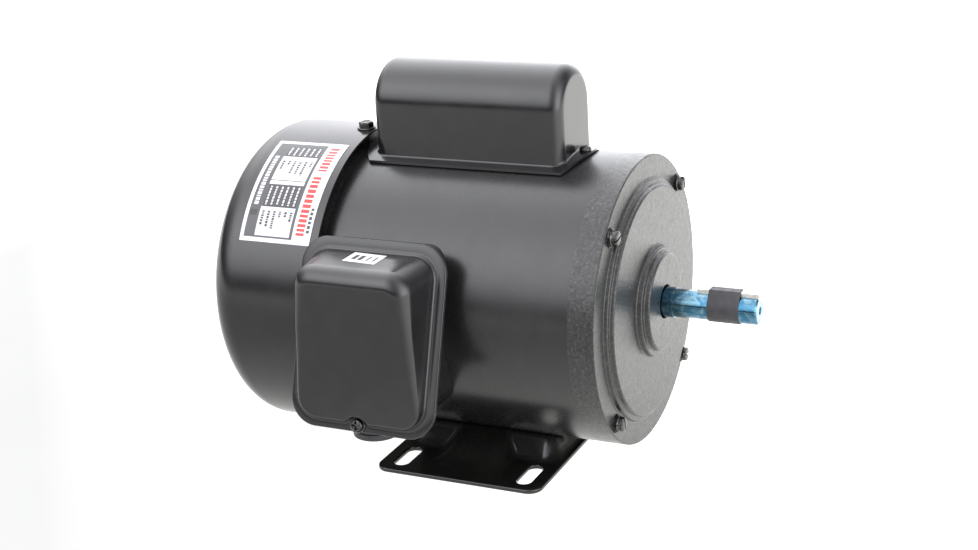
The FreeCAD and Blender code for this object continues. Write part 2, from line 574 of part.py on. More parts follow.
def switch_arm():
    """Hinged strip with the moving contact, pushed by the governor collar."""
    pivot = V(-7, SWITCH_PIVOT_Y, SWITCH_PIVOT_Z)
    hub = Part.makeCylinder(2.0, 14, pivot, V(1, 0, 0))
    strip = box(-6, 6, 75.0, 76.0, SWITCH_PIVOT_Z - 0.5, SHAFT_Z - 17.5)
    pad = box(-6, 6, 74.5, 76.0, SHAFT_Z - 25.5, SHAFT_Z - 17.5)
    arm = hub.fuse(strip).fuse(pad)
    arm = arm.cut(Part.makeCylinder(1.05, 20, pivot - V(2, 0, 0), V(1, 0, 0)))
    rivet = Part.makeCylinder(1.5, 3, V(0, 74, CONTACT_Z), AXIS_Y)
    export("switch_arm", arm.cut(rivet).removeSplitter())
    contact = Part.makeCylinder(1.45, 2.0, V(0, 74.6, CONTACT_Z), AXIS_Y)
    contact = contact.fuse(Part.makeCylinder(3.0, 2.7, V(0, 76.0, CONTACT_Z), AXIS_Y))
    export("moving_contact", contact)


# ---- fan cover ----------------------------------------------------------------------
def dome(radius, half_y, half_r, back, front):
    """Solid of the cover's outline: cylinder, elliptical shoulder, flat back."""
    turn_y, turn_r = back - half_y, radius - half_r
    ellipse = Part.Ellipse(V(radius, turn_y, SHAFT_Z), V(turn_r, back, SHAFT_Z),
                           V(turn_r, turn_y, SHAFT_Z))
    arc = Part.Arc(ellipse, 0, math.pi / 2).toShape()
    edges = [Part.makeLine(V(0, front, SHAFT_Z), V(radius, front, SHAFT_Z)),
             Part.makeLine(V(radius, front, SHAFT_Z), V(radius, turn_y, SHAFT_Z)), arc,
             Part.makeLine(V(turn_r, back, SHAFT_Z), V(0, back, SHAFT_Z)),
             Part.makeLine(V(0, back, SHAFT_Z), V(0, front, SHAFT_Z))]
    return Part.Face(Part.Wire(edges)).revolve(AXIS_POINT, AXIS_Y, 360)


def fan_cover():
    t = FAN_COVER_T
    outside = dome(FAN_COVER_R, SHOULDER_Y, SHOULDER_R, FAN_COVER_BACK, FAN_COVER_FRONT)
    inside = dome(FAN_COVER_R - t, SHOULDER_Y - t, SHOULDER_R - t, FAN_COVER_BACK - t,
                  FAN_COVER_FRONT)
    cover = outside.cut(inside)
    cuts = []
    for count, r0, r1 in ((12, 15.0, 27.0), (24, 33.0, 54.0)):
        for i in range(count):
            corners = [V(r0, 149, SHAFT_Z - 2), V(r1, 149, SHAFT_Z - 2),
                       V(r1, 149, SHAFT_Z + 2), V(r0, 149, SHAFT_Z + 2)]
            cuts.append(turned(prism(corners, V(0, 4, 0), 1.95), 360 * i / count))
    hole = Part.makeCylinder(2.4, 12, V(84, COVER_SCREW_Y, SHAFT_Z), V(1, 0, 0))
    cuts += [turned(hole, angle) for angle in COVER_SCREW_ANGLES]
    export("fan_cover", cover.cut(Part.makeCompound(cuts)))
    one = screw(V(FAN_COVER_R, COVER_SCREW_Y, SHAFT_Z), V(1, 0, 0), 5.4, 1.0, 2.1, 11.0)
    one = one.fuse(hexagon(V(FAN_COVER_R + 0.8, COVER_SCREW_Y, SHAFT_Z), 3.9, V(3.6, 0, 0)))
    export("fan_cover_screws", *[turned(one, angle) for angle in COVER_SCREW_ANGLES])


def rating_plate():
    plate = sector(FAN_COVER_R + 0.02, FAN_COVER_R + 0.32, 107.5, 152.0, 80.0, 125.5)
    export("rating_plate", plate)


# ---- capacitor and its cover --------------------------------------------------------
def arch(half_w, low_z, y0, y1, fillet):
    """Upside-down U along Y with rounded ends."""
    a, b = V(-half_w, y0, low_z), V(-half_w, y0, CAP_ARCH_Z)
    c, d = V(half_w, y0, CAP_ARCH_Z), V(half_w, y0, low_z)
    top = V(0, y0, CAP_ARCH_Z + half_w)
    wire = Part.Wire([Part.makeLine(a, b), Part.Arc(b, top, c).toShape(), Part.makeLine(c, d),
                      Part.makeLine(d, a)])
    solid = Part.Face(wire).extrude(V(0, y1 - y0, 0))
    rims = [e for e in solid.Edges if e.BoundBox.YLength < 1e-6
            and e.BoundBox.ZMax > low_z + 1]
    return solid.makeFillet(fillet, rims)


def flange_outline(half_w, front, rear, corner_front, corner_rear, z):
    """Long plate seen from above, with bowed ends."""
    edges = [
        Part.Arc(V(-half_w, corner_front, z), V(0, front, z), V(half_w, corner_front, z)).toShape(),
        Part.makeLine(V(half_w, corner_front, z), V(half_w, corner_rear, z)),
        Part.Arc(V(half_w, corner_rear, z), V(0, rear, z), V(-half_w, corner_rear, z)).toShape(),
        Part.makeLine(V(-half_w, corner_rear, z), V(-half_w, corner_front, z)),
    ]
    return Part.Face(Part.Wire(edges)).extrude(V(0, 0, 40))


def capacitor_cover():
    """Drawn cover: an arch on a thin flange that follows the shell."""
    t = CAP_T
    body = arch(CAP_HALF_W, CAP_LOW_Z, CAP_FRONT, CAP_REAR, CAP_END_FILLET)
    hollow = arch(CAP_HALF_W - t, CAP_LOW_Z - 5, CAP_FRONT + t, CAP_REAR - t,
                  CAP_END_FILLET - t)
    plate = ring(CAP_FLANGE_R, CAP_FLANGE_R + CAP_FLANGE_T, -70, 90)
    plate = plate.common(flange_outline(CAP_FLANGE_HALF_W, -57.0, 77.0, -50.0, 67.0, CAP_LOW_Z))
    solid = body.cut(disc(CAP_FLANGE_R, -80, 100)).fuse(plate).removeSplitter()
    seam = [e for e in solid.Edges if on_seam(e)]
    solid = solid.makeFillet(1.2, seam).cut(hollow)
    for y in CAP_SCREW_Y:
        solid = solid.cut(Part.makeCylinder(2.3, 30, V(0, y, CAP_LOW_Z), V(0, 0, 1)))
    export("capacitor_cover", solid)


def on_seam(edge):
    """True for the edges where the cover's walls rise from its flange."""
    top = CAP_FLANGE_R + CAP_FLANGE_T
    for i in range(5):
        at = edge.valueAt(edge.FirstParameter + (edge.LastParameter - edge.FirstParameter) * i / 4)
        off = abs(math.hypot(at.x, at.z - SHAFT_Z) - top)
        inside = abs(at.x) < CAP_HALF_W + 0.01 and CAP_FRONT - 0.01 < at.y < CAP_REAR + 0.01
        if off > 1e-4 or not inside:
            return False
    return True


def capacitor_gasket():
    gasket = ring(SHELL_R + FIT, CAP_FLANGE_R - FIT, -70, 90)
    gasket = gasket.common(flange_outline(CAP_FLANGE_HALF_W - 1.2, -55.2, 75.8, -49.0, 66.0,
                                          CAP_LOW_Z))
    opening = box(-20.5, 20.5, CAP_FRONT + 6, CAP_REAR - 6, CAP_LOW_Z, CAP_LOW_Z + 40)
    gasket = gasket.cut(opening)
    for y in CAP_SCREW_Y:
        gasket = gasket.cut(Part.makeCylinder(2.3, 30, V(0, y, CAP_LOW_Z), V(0, 0, 1)))
    export("capacitor_gasket", gasket)


def capacitor_cover_screws():
    screws = []
    for y in CAP_SCREW_Y:
        seat = V(0, y, SHAFT_Z + CAP_FLANGE_R + CAP_FLANGE_T)
        screws.append(screw(seat, V(0, 0, 1), 3.3, 2.6, 1.65, 9.0, slot_w=0.9))
    export("capacitor_cover_screws", *screws)


def start_capacitor():
    """Can with two blade terminals, and its two leads down into the shell."""
    can = Part.makeCylinder(CAN_R, CAN_REAR - CAN_FRONT, V(0, CAN_FRONT, CAN_Z), AXIS_Y)
    rim = [e for e in can.Edges if e.BoundBox.YLength < 1e-6]
    can = can.makeFillet(1.2, rim)
    recess = Part.makeCylinder(16.4, 2.0, V(0, CAN_REAR - 2.0, CAN_Z), AXIS_Y)
    export("start_capacitor", can.cut(recess))
    blades = [box(x - 3.2, x + 3.2, CAN_REAR - 2.0, CAN_REAR + 7.0, CAN_Z - 0.4, CAN_Z + 0.4)
              for x in (-7.0, 7.0)]
    export("capacitor_terminals", *blades)
    leads = []
    for side in (-1, 1):
        points = [V(7.0 * side, CAN_REAR + 7.2, CAN_Z), V(7.0 * side, CAN_REAR + 12.2, CAN_Z),
                  V(2.6 * side, 58.2, SHAFT_Z + 84), V(2.6 * side, 52.5, SHAFT_Z + 61.8)]
        leads.append(wire_tube(points, 1.2, 2.6))
    export("capacitor_leads", *leads)


def capacitor_clamp():
    """Strap over the can whose two legs stand on the shell."""
    width, outer = 14, CAN_R + 1.2
    strap = Part.makeCylinder(outer, width, V(0, 0, CAN_Z), AXIS_Y)
    strap = strap.fuse(box(-outer, outer, 0, width, SHAFT_Z + 78, CAN_Z))
    inner = Part.makeCylinder(CAN_R + FIT, width, V(0, 0, CAN_Z), AXIS_Y)
    inner = inner.fuse(box(-CAN_R - FIT, CAN_R + FIT, 0, width, CAP_LOW_Z, CAN_Z))
    export("capacitor_clamp", strap.cut(inner).cut(disc(SHELL_R + FIT, -20, 40)))


# ---- conduit box --------------------------------------------------------------------
def on_flange(along_y, up, out):
    """Point given along Y, up the leaning flange and out of its face."""
    return V(BOX_X, BOX_Y + along_y, SHAFT_Z) + LEAN_UP * up + LEAN_OUT * out


def flange_rect(half_y, up0, up1, out):
    return [on_flange(-half_y, up0, out), on_flange(half_y, up0, out),
            on_flange(half_y, up1, out), on_flange(-half_y, up1, out)]


def flange_plate(inset, out, thickness):
    low, high = FLANGE_UP - FLANGE_H / 2 + inset, FLANGE_UP + FLANGE_H / 2 - inset
    corners = flange_rect(FLANGE_W / 2 - inset, low, high, out)
    return prism(corners, LEAN_OUT * -thickness, FLANGE_R - inset)


def cover_body(inset):
    """Wedge between the flange plane and the upright front face."""
    foot = flange_rect(38.0 - inset, -44.3 + inset, 46.9 - inset, -COVER_FLANGE_T)
    face_x = COVER_FACE_X + inset
    low, high = 46.1 + inset, 132.3 - inset
    face = [V(face_x, BOX_Y - 36.6 + inset, low), V(face_x, BOX_Y + 36.6 - inset, low),
            V(face_x, BOX_Y + 34.2 - inset, high), V(face_x, BOX_Y - 34.2 + inset, high)]
    wires = [rounded_wire(foot, 11.0 - inset), rounded_wire(face, 9.0 - inset)]
    body = Part.makeLoft(wires, True, True)
    rim = [e for e in body.Edges if e.BoundBox.XMax < face_x + 0.01]
    return body.makeFillet(3.0 - inset, rim)


def conduit_box_cover():
    seat = on_flange(BOX_SCREW[0], BOX_SCREW[1], -5)
    notch = Part.makeCylinder(7.4, 40, seat, LEAN_OUT)
    notch_inside = Part.makeCylinder(7.4 + COVER_T, 40, seat, LEAN_OUT)
    outside = cover_body(0.0).cut(notch)
    inside = cover_body(COVER_T).cut(notch_inside)
    cover = outside.fuse(flange_plate(0.0, 0.0, COVER_FLANGE_T)).cut(inside)
    hole = Part.makeCylinder(2.4, 40, seat, LEAN_OUT)
    window = prism(flange_rect(36.0, -34.5, 44.5, -0.5), LEAN_OUT * -4, 9.0)
    export("conduit_box_cover", cover.cut(hole).cut(window).removeSplitter())


def conduit_box_base():
    """Drawn box whose walls run from the shell to the leaning flange."""
    def walls(inset):
        y0, y1 = BOX_Y - 36.9 + inset, BOX_Y + 36.9 - inset
        z0, z1 = 45.5 + inset, 134.5 - inset
        corners = [V(-60, y0, z0), V(-60, y1, z0), V(-60, y1, z1), V(-60, y0, z1)]
        return prism(corners, V(-60, 0, 0), 11.0 - inset)

    beyond = prism(flange_rect(80, -90, 90, -COVER_FLANGE_T - GASKET_T), LEAN_OUT * 60)
    shell = disc(SHELL_R + FIT, -60, 120)
    plate = flange_plate(0.8, -COVER_FLANGE_T - GASKET_T, BASE_FLANGE_T)
    body = walls(0.0).fuse(plate).cut(beyond).cut(walls(1.4)).cut(shell)
    hub = Part.makeCylinder(12.6, 10.0, V(HUB_X, BOX_Y, HUB_BOTTOM), V(0, 0, 1))
    body = body.fuse(hub)
    body = body.cut(Part.makeCylinder(KNOCKOUT_R, 14.0, V(HUB_X, BOX_Y, HUB_BOTTOM - 1),
                                      V(0, 0, 1)))
    seat = on_flange(BOX_SCREW[0], BOX_SCREW[1], -10)
    body = body.cut(Part.makeCylinder(2.05, 30, seat, LEAN_OUT))
    export("conduit_box_base", body.removeSplitter())


def conduit_fittings():
    gasket = flange_plate(0.4, -COVER_FLANGE_T, GASKET_T)
    gasket = gasket.cut(prism(flange_rect(35.0, -40.0, 44.5, 1.0), LEAN_OUT * -8, 10.0))
    seat = on_flange(BOX_SCREW[0], BOX_SCREW[1], 0)
    gasket = gasket.cut(Part.makeCylinder(2.1, 30, seat - LEAN_OUT * 10, LEAN_OUT))
    export("conduit_cover_gasket", gasket)
    export("conduit_cover_screw", screw(seat, LEAN_OUT, 4.4, 2.6, 2.0, 5.0, slot_w=1.0))
    plug = Part.makeCylinder(13.3, 3.2, V(HUB_X, BOX_Y, HUB_BOTTOM - 3.2), V(0, 0, 1))
    plug = plug.fuse(Part.makeCylinder(KNOCKOUT_R - FIT, 6.2,
                                       V(HUB_X, BOX_Y, HUB_BOTTOM - 0.2), V(0, 0, 1)))
    export("knockout_plug", plug)


def terminal_board():
    """Moulded board on two legs, with four threaded studs and their nuts."""
    z0, z1 = SHAFT_Z + 6.0, SHAFT_Z + 34.0
    board = box(-88.0, -85.5, 20.0, 60.0, z0, z1)
    for y in (21.0, 53.0):
        leg = box(-86.0, -72.0, y, y + 6, STUD_Z - 3, STUD_Z + 3)
        board = board.fuse(leg)
    board = board.cut(disc(SHELL_R + FIT, 0, 80))
    studs, nuts = [], []
    for y in STUD_Y:
        board = board.cut(Part.makeCylinder(2.05, 6.6, V(-90, y, STUD_Z), V(1, 0, 0)))
        studs.append(Part.makeCylinder(2.0, 12.2, V(-96.0, y, STUD_Z), V(1, 0, 0)))
        nut = hexagon(V(-91.0, y, STUD_Z), 3.6, V(3.0, 0, 0))
        nuts.append(nut.cut(Part.makeCylinder(2.05, 8, V(-93, y, STUD_Z), V(1, 0, 0))))
    export("terminal_board", board.removeSplitter())
    export("terminal_studs", *studs)
    export("terminal_nuts", *nuts)


def ground_screw():
    seat = V(-SHELL_R - 0.6, 12.0, SHAFT_Z - 6)
    head = Part.makeCylinder(4.0, 2.6, seat, V(-1, 0, 0))
    shank = Part.makeCylinder(1.9, 0.5, seat, V(1, 0, 0))
    slot = box(seat.x - 3, seat.x - 1.2, 7, 17, seat.z - 0.6, seat.z + 0.6)
    export("ground_screw", head.fuse(shank).cut(slot))


# ---- build --------------------------------------------------------------------------
os.makedirs("parts", exist_ok=True)
stator_shell()
drive_end_bell()
rear_end_bell()
through_bolts()
foot_base()
stator_core()
slot_liners()
windings()
motor_leads()
shaft()
shaft_key_and_sleeve()
rotor_core()
rotor_cage()
for bearing_name, bearing_centre in BEARING_CENTRES.items():
    bearing(bearing_name, bearing_centre)
wave_washer()
cooling_fan()
governor_hub()
governor_weight("governor_weight_a", 1)
governor_weight("governor_weight_b", -1)
governor_collar()
governor_spring()
stationary_switch()
switch_arm()
fan_cover()
rating_plate()
capacitor_cover()
capacitor_gasket()
capacitor_cover_screws()
start_capacitor()
capacitor_clamp()
conduit_box_cover()
conduit_box_base()
conduit_fittings()
terminal_board()
ground_screw()
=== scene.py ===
import bpy
import bmesh
import json
import math
import random
from mathutils import Matrix, Vector
from mathutils.bvhtree import BVHTree
from mathutils.geometry import delaunay_2d_cdt


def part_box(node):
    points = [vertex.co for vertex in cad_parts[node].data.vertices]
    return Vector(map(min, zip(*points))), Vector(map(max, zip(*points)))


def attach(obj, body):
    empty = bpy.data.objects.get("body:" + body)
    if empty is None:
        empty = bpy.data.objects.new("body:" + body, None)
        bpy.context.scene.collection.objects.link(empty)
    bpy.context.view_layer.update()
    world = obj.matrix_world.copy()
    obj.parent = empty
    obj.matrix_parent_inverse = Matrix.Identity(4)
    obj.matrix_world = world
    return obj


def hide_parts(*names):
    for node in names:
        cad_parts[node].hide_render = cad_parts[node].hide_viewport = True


# Foot-mounted single-phase electric motor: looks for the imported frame, in metres.
# +Z is up, the shaft lies along Y with its free end towards -Y, the conduit box is on -X.

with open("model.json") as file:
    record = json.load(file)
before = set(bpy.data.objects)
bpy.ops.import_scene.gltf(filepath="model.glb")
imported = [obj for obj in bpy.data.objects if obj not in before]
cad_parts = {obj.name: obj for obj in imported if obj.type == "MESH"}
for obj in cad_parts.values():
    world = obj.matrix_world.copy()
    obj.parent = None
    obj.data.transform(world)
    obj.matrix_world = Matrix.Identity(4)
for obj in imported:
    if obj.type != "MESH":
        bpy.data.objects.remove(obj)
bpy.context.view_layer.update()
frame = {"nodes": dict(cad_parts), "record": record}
nodes = frame["nodes"]
record = frame["record"]

MM = 0.001
SHAFT_Z = 0.0889
SHELL_R = 0.0814
RIM_FACE = -0.0871
FAN_COVER_R = 0.090
IDENTITY = Matrix.Identity(4)


# ---- surfaces ---------------------------------------------------------------------------
class Surface:
    """A Principled material whose textures are laid out in the row frame, in metres."""

    def __init__(self, name, roughness=0.5, metallic=0.0, coat=0.0, coat_roughness=0.1,
                 specular=0.5, anisotropic=0.0):
        self.material = bpy.data.materials.new(name)
        self.material.use_nodes = True
        self.tree = self.material.node_tree
        self.shader = self.tree.nodes["Principled BSDF"]
        for socket, value in (("Roughness", roughness), ("Metallic", metallic),
                              ("Coat Weight", coat), ("Coat Roughness", coat_roughness),
                              ("Specular IOR Level", specular), ("Anisotropic", anisotropic)):
            self.shader.inputs[socket].default_value = value
        self.place = self.node("ShaderNodeTexCoord").outputs["Object"]
        self.normal = None

    def node(self, kind, **settings):
        made = self.tree.nodes.new(kind)
        for key, value in settings.items():
            setattr(made, key, value)
        return made

    def link(self, output, socket):
        self.tree.links.new(output, socket)

    def stretched(self, along):
        """Coordinates squeezed along some axes, so that a texture is drawn out there."""
        mapping = self.node("ShaderNodeMapping")
        self.link(self.place, mapping.inputs["Vector"])
        mapping.inputs["Scale"].default_value = along
        return mapping.outputs["Vector"]

    def noise(self, size, detail=2.0, rough=0.5, along=None, distort=0.0):
        """Noise whose lumps are about size metres across."""
        made = self.node("ShaderNodeTexNoise")
        self.link(self.stretched(along) if along else self.place, made.inputs["Vector"])
        made.inputs["Scale"].default_value = 1.0 / size
        made.inputs["Detail"].default_value = detail
        made.inputs["Roughness"].default_value = rough
        made.inputs["Distortion"].default_value = distort
        return made.outputs["Fac"]

    def cells(self, size, feature="F1"):
        made = self.node("ShaderNodeTexVoronoi", feature=feature)
        self.link(self.place, made.inputs["Vector"])
        made.inputs["Scale"].default_value = 1.0 / size
        return made.outputs["Distance"]

    def rings(self, size, centre=(0, 0, SHAFT_Z)):
        """Fine circular lines about the shaft's axis, as a lathe leaves them."""
        mapping = self.node("ShaderNodeMapping")
        self.link(self.place, mapping.inputs["Vector"])
        mapping.inputs["Location"].default_value = [-c for c in centre]
        wave = self.node("ShaderNodeTexWave", wave_type="RINGS", rings_direction="Y")
        self.link(mapping.outputs["Vector"], wave.inputs["Vector"])
        wave.inputs["Scale"].default_value = 0.314 / size
        wave.inputs["Distortion"].default_value = 1.5
        wave.inputs["Detail"].default_value = 2.0
        return wave.outputs["Fac"]

    def lines(self, size, direction):
        wave = self.node("ShaderNodeTexWave", wave_type="BANDS", bands_direction=direction)
        self.link(self.place, wave.inputs["Vector"])
        wave.inputs["Scale"].default_value = 0.314 / size
        wave.inputs["Distortion"].default_value = 0.6
        wave.inputs["Detail"].default_value = 1.0
        return wave.outputs["Fac"]

    def remap(self, fac, low, high, start=0.0, end=1.0):
        made = self.node("ShaderNodeMapRange")
        self.link(fac, made.inputs["Value"])
        for socket, value in (("From Min", start), ("From Max", end), ("To Min", low),
                              ("To Max", high)):
            made.inputs[socket].default_value = value
        return made.outputs["Result"]

    def math(self, operation, a, b):
        made = self.node("ShaderNodeMath", operation=operation)
        self.link(a, made.inputs[0])
        self.link(b, made.inputs[1])
        return made.outputs["Value"]

    def colour(self, fac, *stops):
        """Base colour from a ramp; each stop is (place, (r, g, b)) in linear light."""
        ramp = self.node("ShaderNodeValToRGB")
        self.link(fac, ramp.inputs["Fac"])
        elements = ramp.color_ramp.elements
        while len(elements) < len(stops):
            elements.new(0.5)
        for element, (place, rgb) in zip(elements, stops):
            element.position = place
            element.color = (*rgb, 1.0)
        self.link(ramp.outputs["Color"], self.shader.inputs["Base Color"])
        return ramp.outputs["Color"]

    def roughness(self, fac, low, high, start=0.3, end=0.7):
        self.link(self.remap(fac, low, high, start, end), self.shader.inputs["Roughness"])

    def bump(self, fac, depth):
        """Adds relief of about depth metres to what is there already."""
        made = self.node("ShaderNodeBump")
        made.inputs["Distance"].default_value = depth
        self.link(fac, made.inputs["Height"])
        if self.normal is not None:
            self.link(self.normal, made.inputs["Normal"])
        self.normal = made.outputs["Normal"]
        self.link(self.normal, self.shader.inputs["Normal"])


def black_paint():
    """Satin black baked enamel: faint orange peel, cloudy sheen, a little dust."""
    s = Surface("black_paint", specular=0.5)
    s.colour(s.noise(0.012, 4.0), (0.3, (0.006, 0.006, 0.0066)), (0.7, (0.009, 0.009, 0.0096)))
    s.roughness(s.noise(0.02, 5.0, 0.6), 0.17, 0.24)
    s.bump(s.noise(0.0011, 1.0), 0.000010)
    s.bump(s.noise(0.018, 1.0), 0.00004)
    return s.material


def shell_paint():
    """The same enamel on the rolled shell, with a softer sheen."""
    s = Surface("shell_paint", specular=0.5)
    s.colour(s.noise(0.012, 4.0), (0.3, (0.006, 0.006, 0.0063)), (0.7, (0.009, 0.009, 0.0092)))
    s.roughness(s.noise(0.02, 5.0, 0.6), 0.24, 0.31)
    s.bump(s.noise(0.0012, 1.0), 0.000006)
    s.bump(s.noise(0.022, 1.0), 0.00004)
    return s.material


def cast_paint():
    """Sand-cast iron under a thin coat of dark paint: grainy, with worn grey high spots."""
    s = Surface("cast_paint", specular=0.5)
    grain = s.noise(0.0015, 5.0, 0.62)
    s.colour(grain, (0.34, (0.008, 0.008, 0.008)), (0.55, (0.015, 0.015, 0.015)),
             (0.70, (0.034, 0.034, 0.033)))
    s.roughness(s.noise(0.004, 4.0), 0.27, 0.36)
    s.link(s.remap(grain, 0.40, 0.57, 0.34, 0.66), s.shader.inputs["Specular IOR Level"])
    s.bump(s.noise(0.004, 3.0), 0.00008)
    s.bump(grain, 0.00016)
    return s.material


def base_paint():
    """Glossy dipped black on pressed sheet steel."""
    s = Surface("base_paint", specular=0.5)
    s.colour(s.noise(0.015, 3.0), (0.3, (0.004, 0.004, 0.004)), (0.7, (0.008, 0.008, 0.007)))
    s.roughness(s.noise(0.012, 4.0), 0.13, 0.20)
    s.bump(s.noise(0.003, 2.0), 0.00002)
    return s.material


def dark_zinc():
    s = Surface("dark_zinc", metallic=1.0)
    s.colour(s.noise(0.0012, 4.0), (0.3, (0.024, 0.024, 0.023)), (0.7, (0.10, 0.098, 0.095)))
    s.roughness(s.noise(0.002, 3.0), 0.22, 0.40)
    s.bump(s.noise(0.0005, 2.0), 0.00002)
    return s.material


def bright_zinc():
    s = Surface("bright_zinc", metallic=1.0)
    s.colour(s.cells(0.003), (0.1, (0.42, 0.42, 0.40)), (0.9, (0.62, 0.63, 0.62)))
    s.roughness(s.noise(0.004, 3.0), 0.25, 0.40)
    s.bump(s.noise(0.0008, 2.0), 0.00001)
    return s.material


def shaft_steel():
    """Ground steel; the free end wears a translucent blue rust-proofing lacquer."""
    s = Surface("shaft_steel", metallic=1.0, coat=0.3, coat_roughness=0.06)
    cloud = s.noise(0.007, 3.0, 0.55, distort=1.2)
    ramp = s.node("ShaderNodeValToRGB")
    s.link(cloud, ramp.inputs["Fac"])
    for element, (place, rgb) in zip(ramp.color_ramp.elements,
                                     ((0.42, (0.020, 0.095, 0.165)), (0.66, (0.12, 0.21, 0.25)))):
        element.position = place
        element.color = (*rgb, 1.0)
    split = s.node("ShaderNodeSeparateXYZ")
    s.link(s.place, split.inputs["Vector"])
    outside = s.remap(split.outputs["Y"], 1.0, 0.0, -0.0975, -0.0965)
    mix = s.node("ShaderNodeMix", data_type="RGBA")
    s.link(outside, mix.inputs["Factor"])
    mix.inputs["A"].default_value = (0.52, 0.52, 0.51, 1.0)
    s.link(ramp.outputs["Color"], mix.inputs["B"])
    s.link(mix.outputs["Result"], s.shader.inputs["Base Color"])
    s.roughness(s.noise(0.0015, 3.0, along=(1, 12, 1)), 0.09, 0.18)
    s.bump(s.lines(0.00035, "Y"), 0.000004)
    return s.material


def bearing_steel():
    s = Surface("bearing_steel", metallic=1.0)
    s.colour(s.noise(0.003, 2.0), (0.3, (0.55, 0.55, 0.56)), (0.7, (0.68, 0.68, 0.69)))
    s.roughness(s.noise(0.001, 2.0), 0.10, 0.18)
    s.bump(s.rings(0.0002), 0.000002)
    return s.material


def lamination():
    """Edges of stacked electrical steel sheets, 0.5 mm each, with a bluish anneal."""
    s = Surface("lamination", metallic=0.9)
    s.colour(s.lines(0.0005, "Y"), (0.2, (0.10, 0.105, 0.12)), (0.8, (0.24, 0.24, 0.26)))
    s.roughness(s.noise(0.003, 3.0), 0.40, 0.55)
    s.bump(s.lines(0.0005, "Y"), 0.00008)
    return s.material


def cast_aluminium():
    s = Surface("cast_aluminium", metallic=1.0)
    s.colour(s.noise(0.003, 4.0), (0.3, (0.50, 0.50, 0.50)), (0.7, (0.66, 0.66, 0.65)))
    s.roughness(s.noise(0.002, 4.0), 0.38, 0.55)
    s.bump(s.noise(0.0012, 4.0), 0.00008)
    return s.material


def spring_steel():
    s = Surface("spring_steel", metallic=1.0)
    s.colour(s.noise(0.002, 3.0), (0.3, (0.25, 0.24, 0.23)), (0.7, (0.40, 0.39, 0.37)))
    s.roughness(s.noise(0.0015, 3.0), 0.24, 0.38)
    s.bump(s.noise(0.0004, 2.0), 0.000008)
    return s.material


def copper_wire():
    """Enamelled magnet wire, 0.8 mm, laid side by side and varnished."""
    s = Surface("copper_wire", metallic=0.85, coat=0.7, coat_roughness=0.2)
    s.colour(s.noise(0.0015, 3.0, along=(1, 0.15, 1)), (0.3, (0.32, 0.10, 0.035)),
             (0.7, (0.55, 0.21, 0.08)))
    s.roughness(s.noise(0.003, 3.0), 0.26, 0.42)
    s.bump(s.noise(0.0009, 1.0, along=(1, 0.08, 1)), 0.0003)
    return s.material


def brass():
    s = Surface("brass", metallic=1.0)
    s.colour(s.noise(0.002, 3.0), (0.3, (0.52, 0.36, 0.13)), (0.7, (0.68, 0.50, 0.21)))
    s.roughness(s.noise(0.0015, 3.0), 0.22, 0.36)
    s.bump(s.noise(0.0005, 2.0), 0.00001)
    return s.material


def black_plastic():
    """Matte black plastic with a fine moulded grain."""
    s = Surface("black_plastic", specular=0.4)
    s.colour(s.noise(0.004, 4.0), (0.3, (0.022, 0.022, 0.025)), (0.7, (0.034, 0.034, 0.038)))
    s.roughness(s.noise(0.003, 3.0), 0.48, 0.60)
    s.bump(s.noise(0.0005, 2.0), 0.00002)
    return s.material


def lead_plastic():
    s = Surface("lead_plastic", specular=0.5)
    s.colour(s.noise(0.006, 2.0), (0.3, (0.42, 0.035, 0.02)), (0.7, (0.52, 0.05, 0.03)))
    s.roughness(s.noise(0.002, 2.0), 0.32, 0.44)
    s.bump(s.noise(0.0012, 2.0), 0.00002)
    return s.material


def board():
    """Woven glass-and-resin board."""
    s = Surface("board", specular=0.4)
    weave = s.math("MULTIPLY", s.lines(0.0012, "X"), s.lines(0.0012, "Z"))
    s.colour(weave, (0.1, (0.16, 0.11, 0.05)), (0.8, (0.26, 0.19, 0.10)))
    s.roughness(s.noise(0.002, 3.0), 0.45, 0.58)
    s.bump(s.lines(0.0012, "X"), 0.00003)
    return s.material


def liner_paper():
    s = Surface("liner_paper", specular=0.3)
    s.colour(s.noise(0.0012, 5.0), (0.3, (0.60, 0.54, 0.40)), (0.7, (0.74, 0.69, 0.55)))
    s.roughness(s.noise(0.002, 3.0), 0.70, 0.82)
    s.bump(s.noise(0.0004, 4.0), 0.00004)
    return s.material


def gasket_rubber():
    s = Surface("gasket_rubber", specular=0.35)
    s.colour(s.noise(0.002, 4.0), (0.3, (0.014, 0.014, 0.014)), (0.7, (0.026, 0.026, 0.025)))
    s.roughness(s.noise(0.002, 3.0), 0.66, 0.80)
    s.bump(s.noise(0.0006, 3.0), 0.00004)
    return s.material


def printed(name, low, high, gloss):
    """A printed film in one ink, slightly uneven as screen printing is."""
    s = Surface(name, specular=0.5)
    s.colour(s.noise(0.0008, 4.0), (0.25, low), (0.75, high))
    s.roughness(s.noise(0.006, 3.0), gloss, gloss + 0.08)
    s.bump(s.noise(0.01, 1.0), 0.00003)
    return s.material


MAKERS = (black_paint, shell_paint, cast_paint, base_paint, dark_zinc, bright_zinc, shaft_steel,
          bearing_steel, lamination, cast_aluminium, spring_steel, copper_wire, brass,
          black_plastic, lead_plastic, board, liner_paper, gasket_rubber)
finishes = {maker.__name__: maker() for maker in MAKERS}
finishes["label"] = printed("label", (0.50, 0.50, 0.515), (0.55, 0.55, 0.565), 0.30)
INKS = {
    "grey": printed("ink_grey", (0.034, 0.034, 0.037), (0.048, 0.048, 0.052), 0.32),
    "dark": printed("ink_dark", (0.010, 0.010, 0.011), (0.017, 0.017, 0.018), 0.34),
    "red": printed("ink_red", (0.34, 0.014, 0.014), (0.42, 0.022, 0.020), 0.32),
    "pale": printed("ink_pale", (0.44, 0.44, 0.455), (0.50, 0.50, 0.515), 0.32),
}


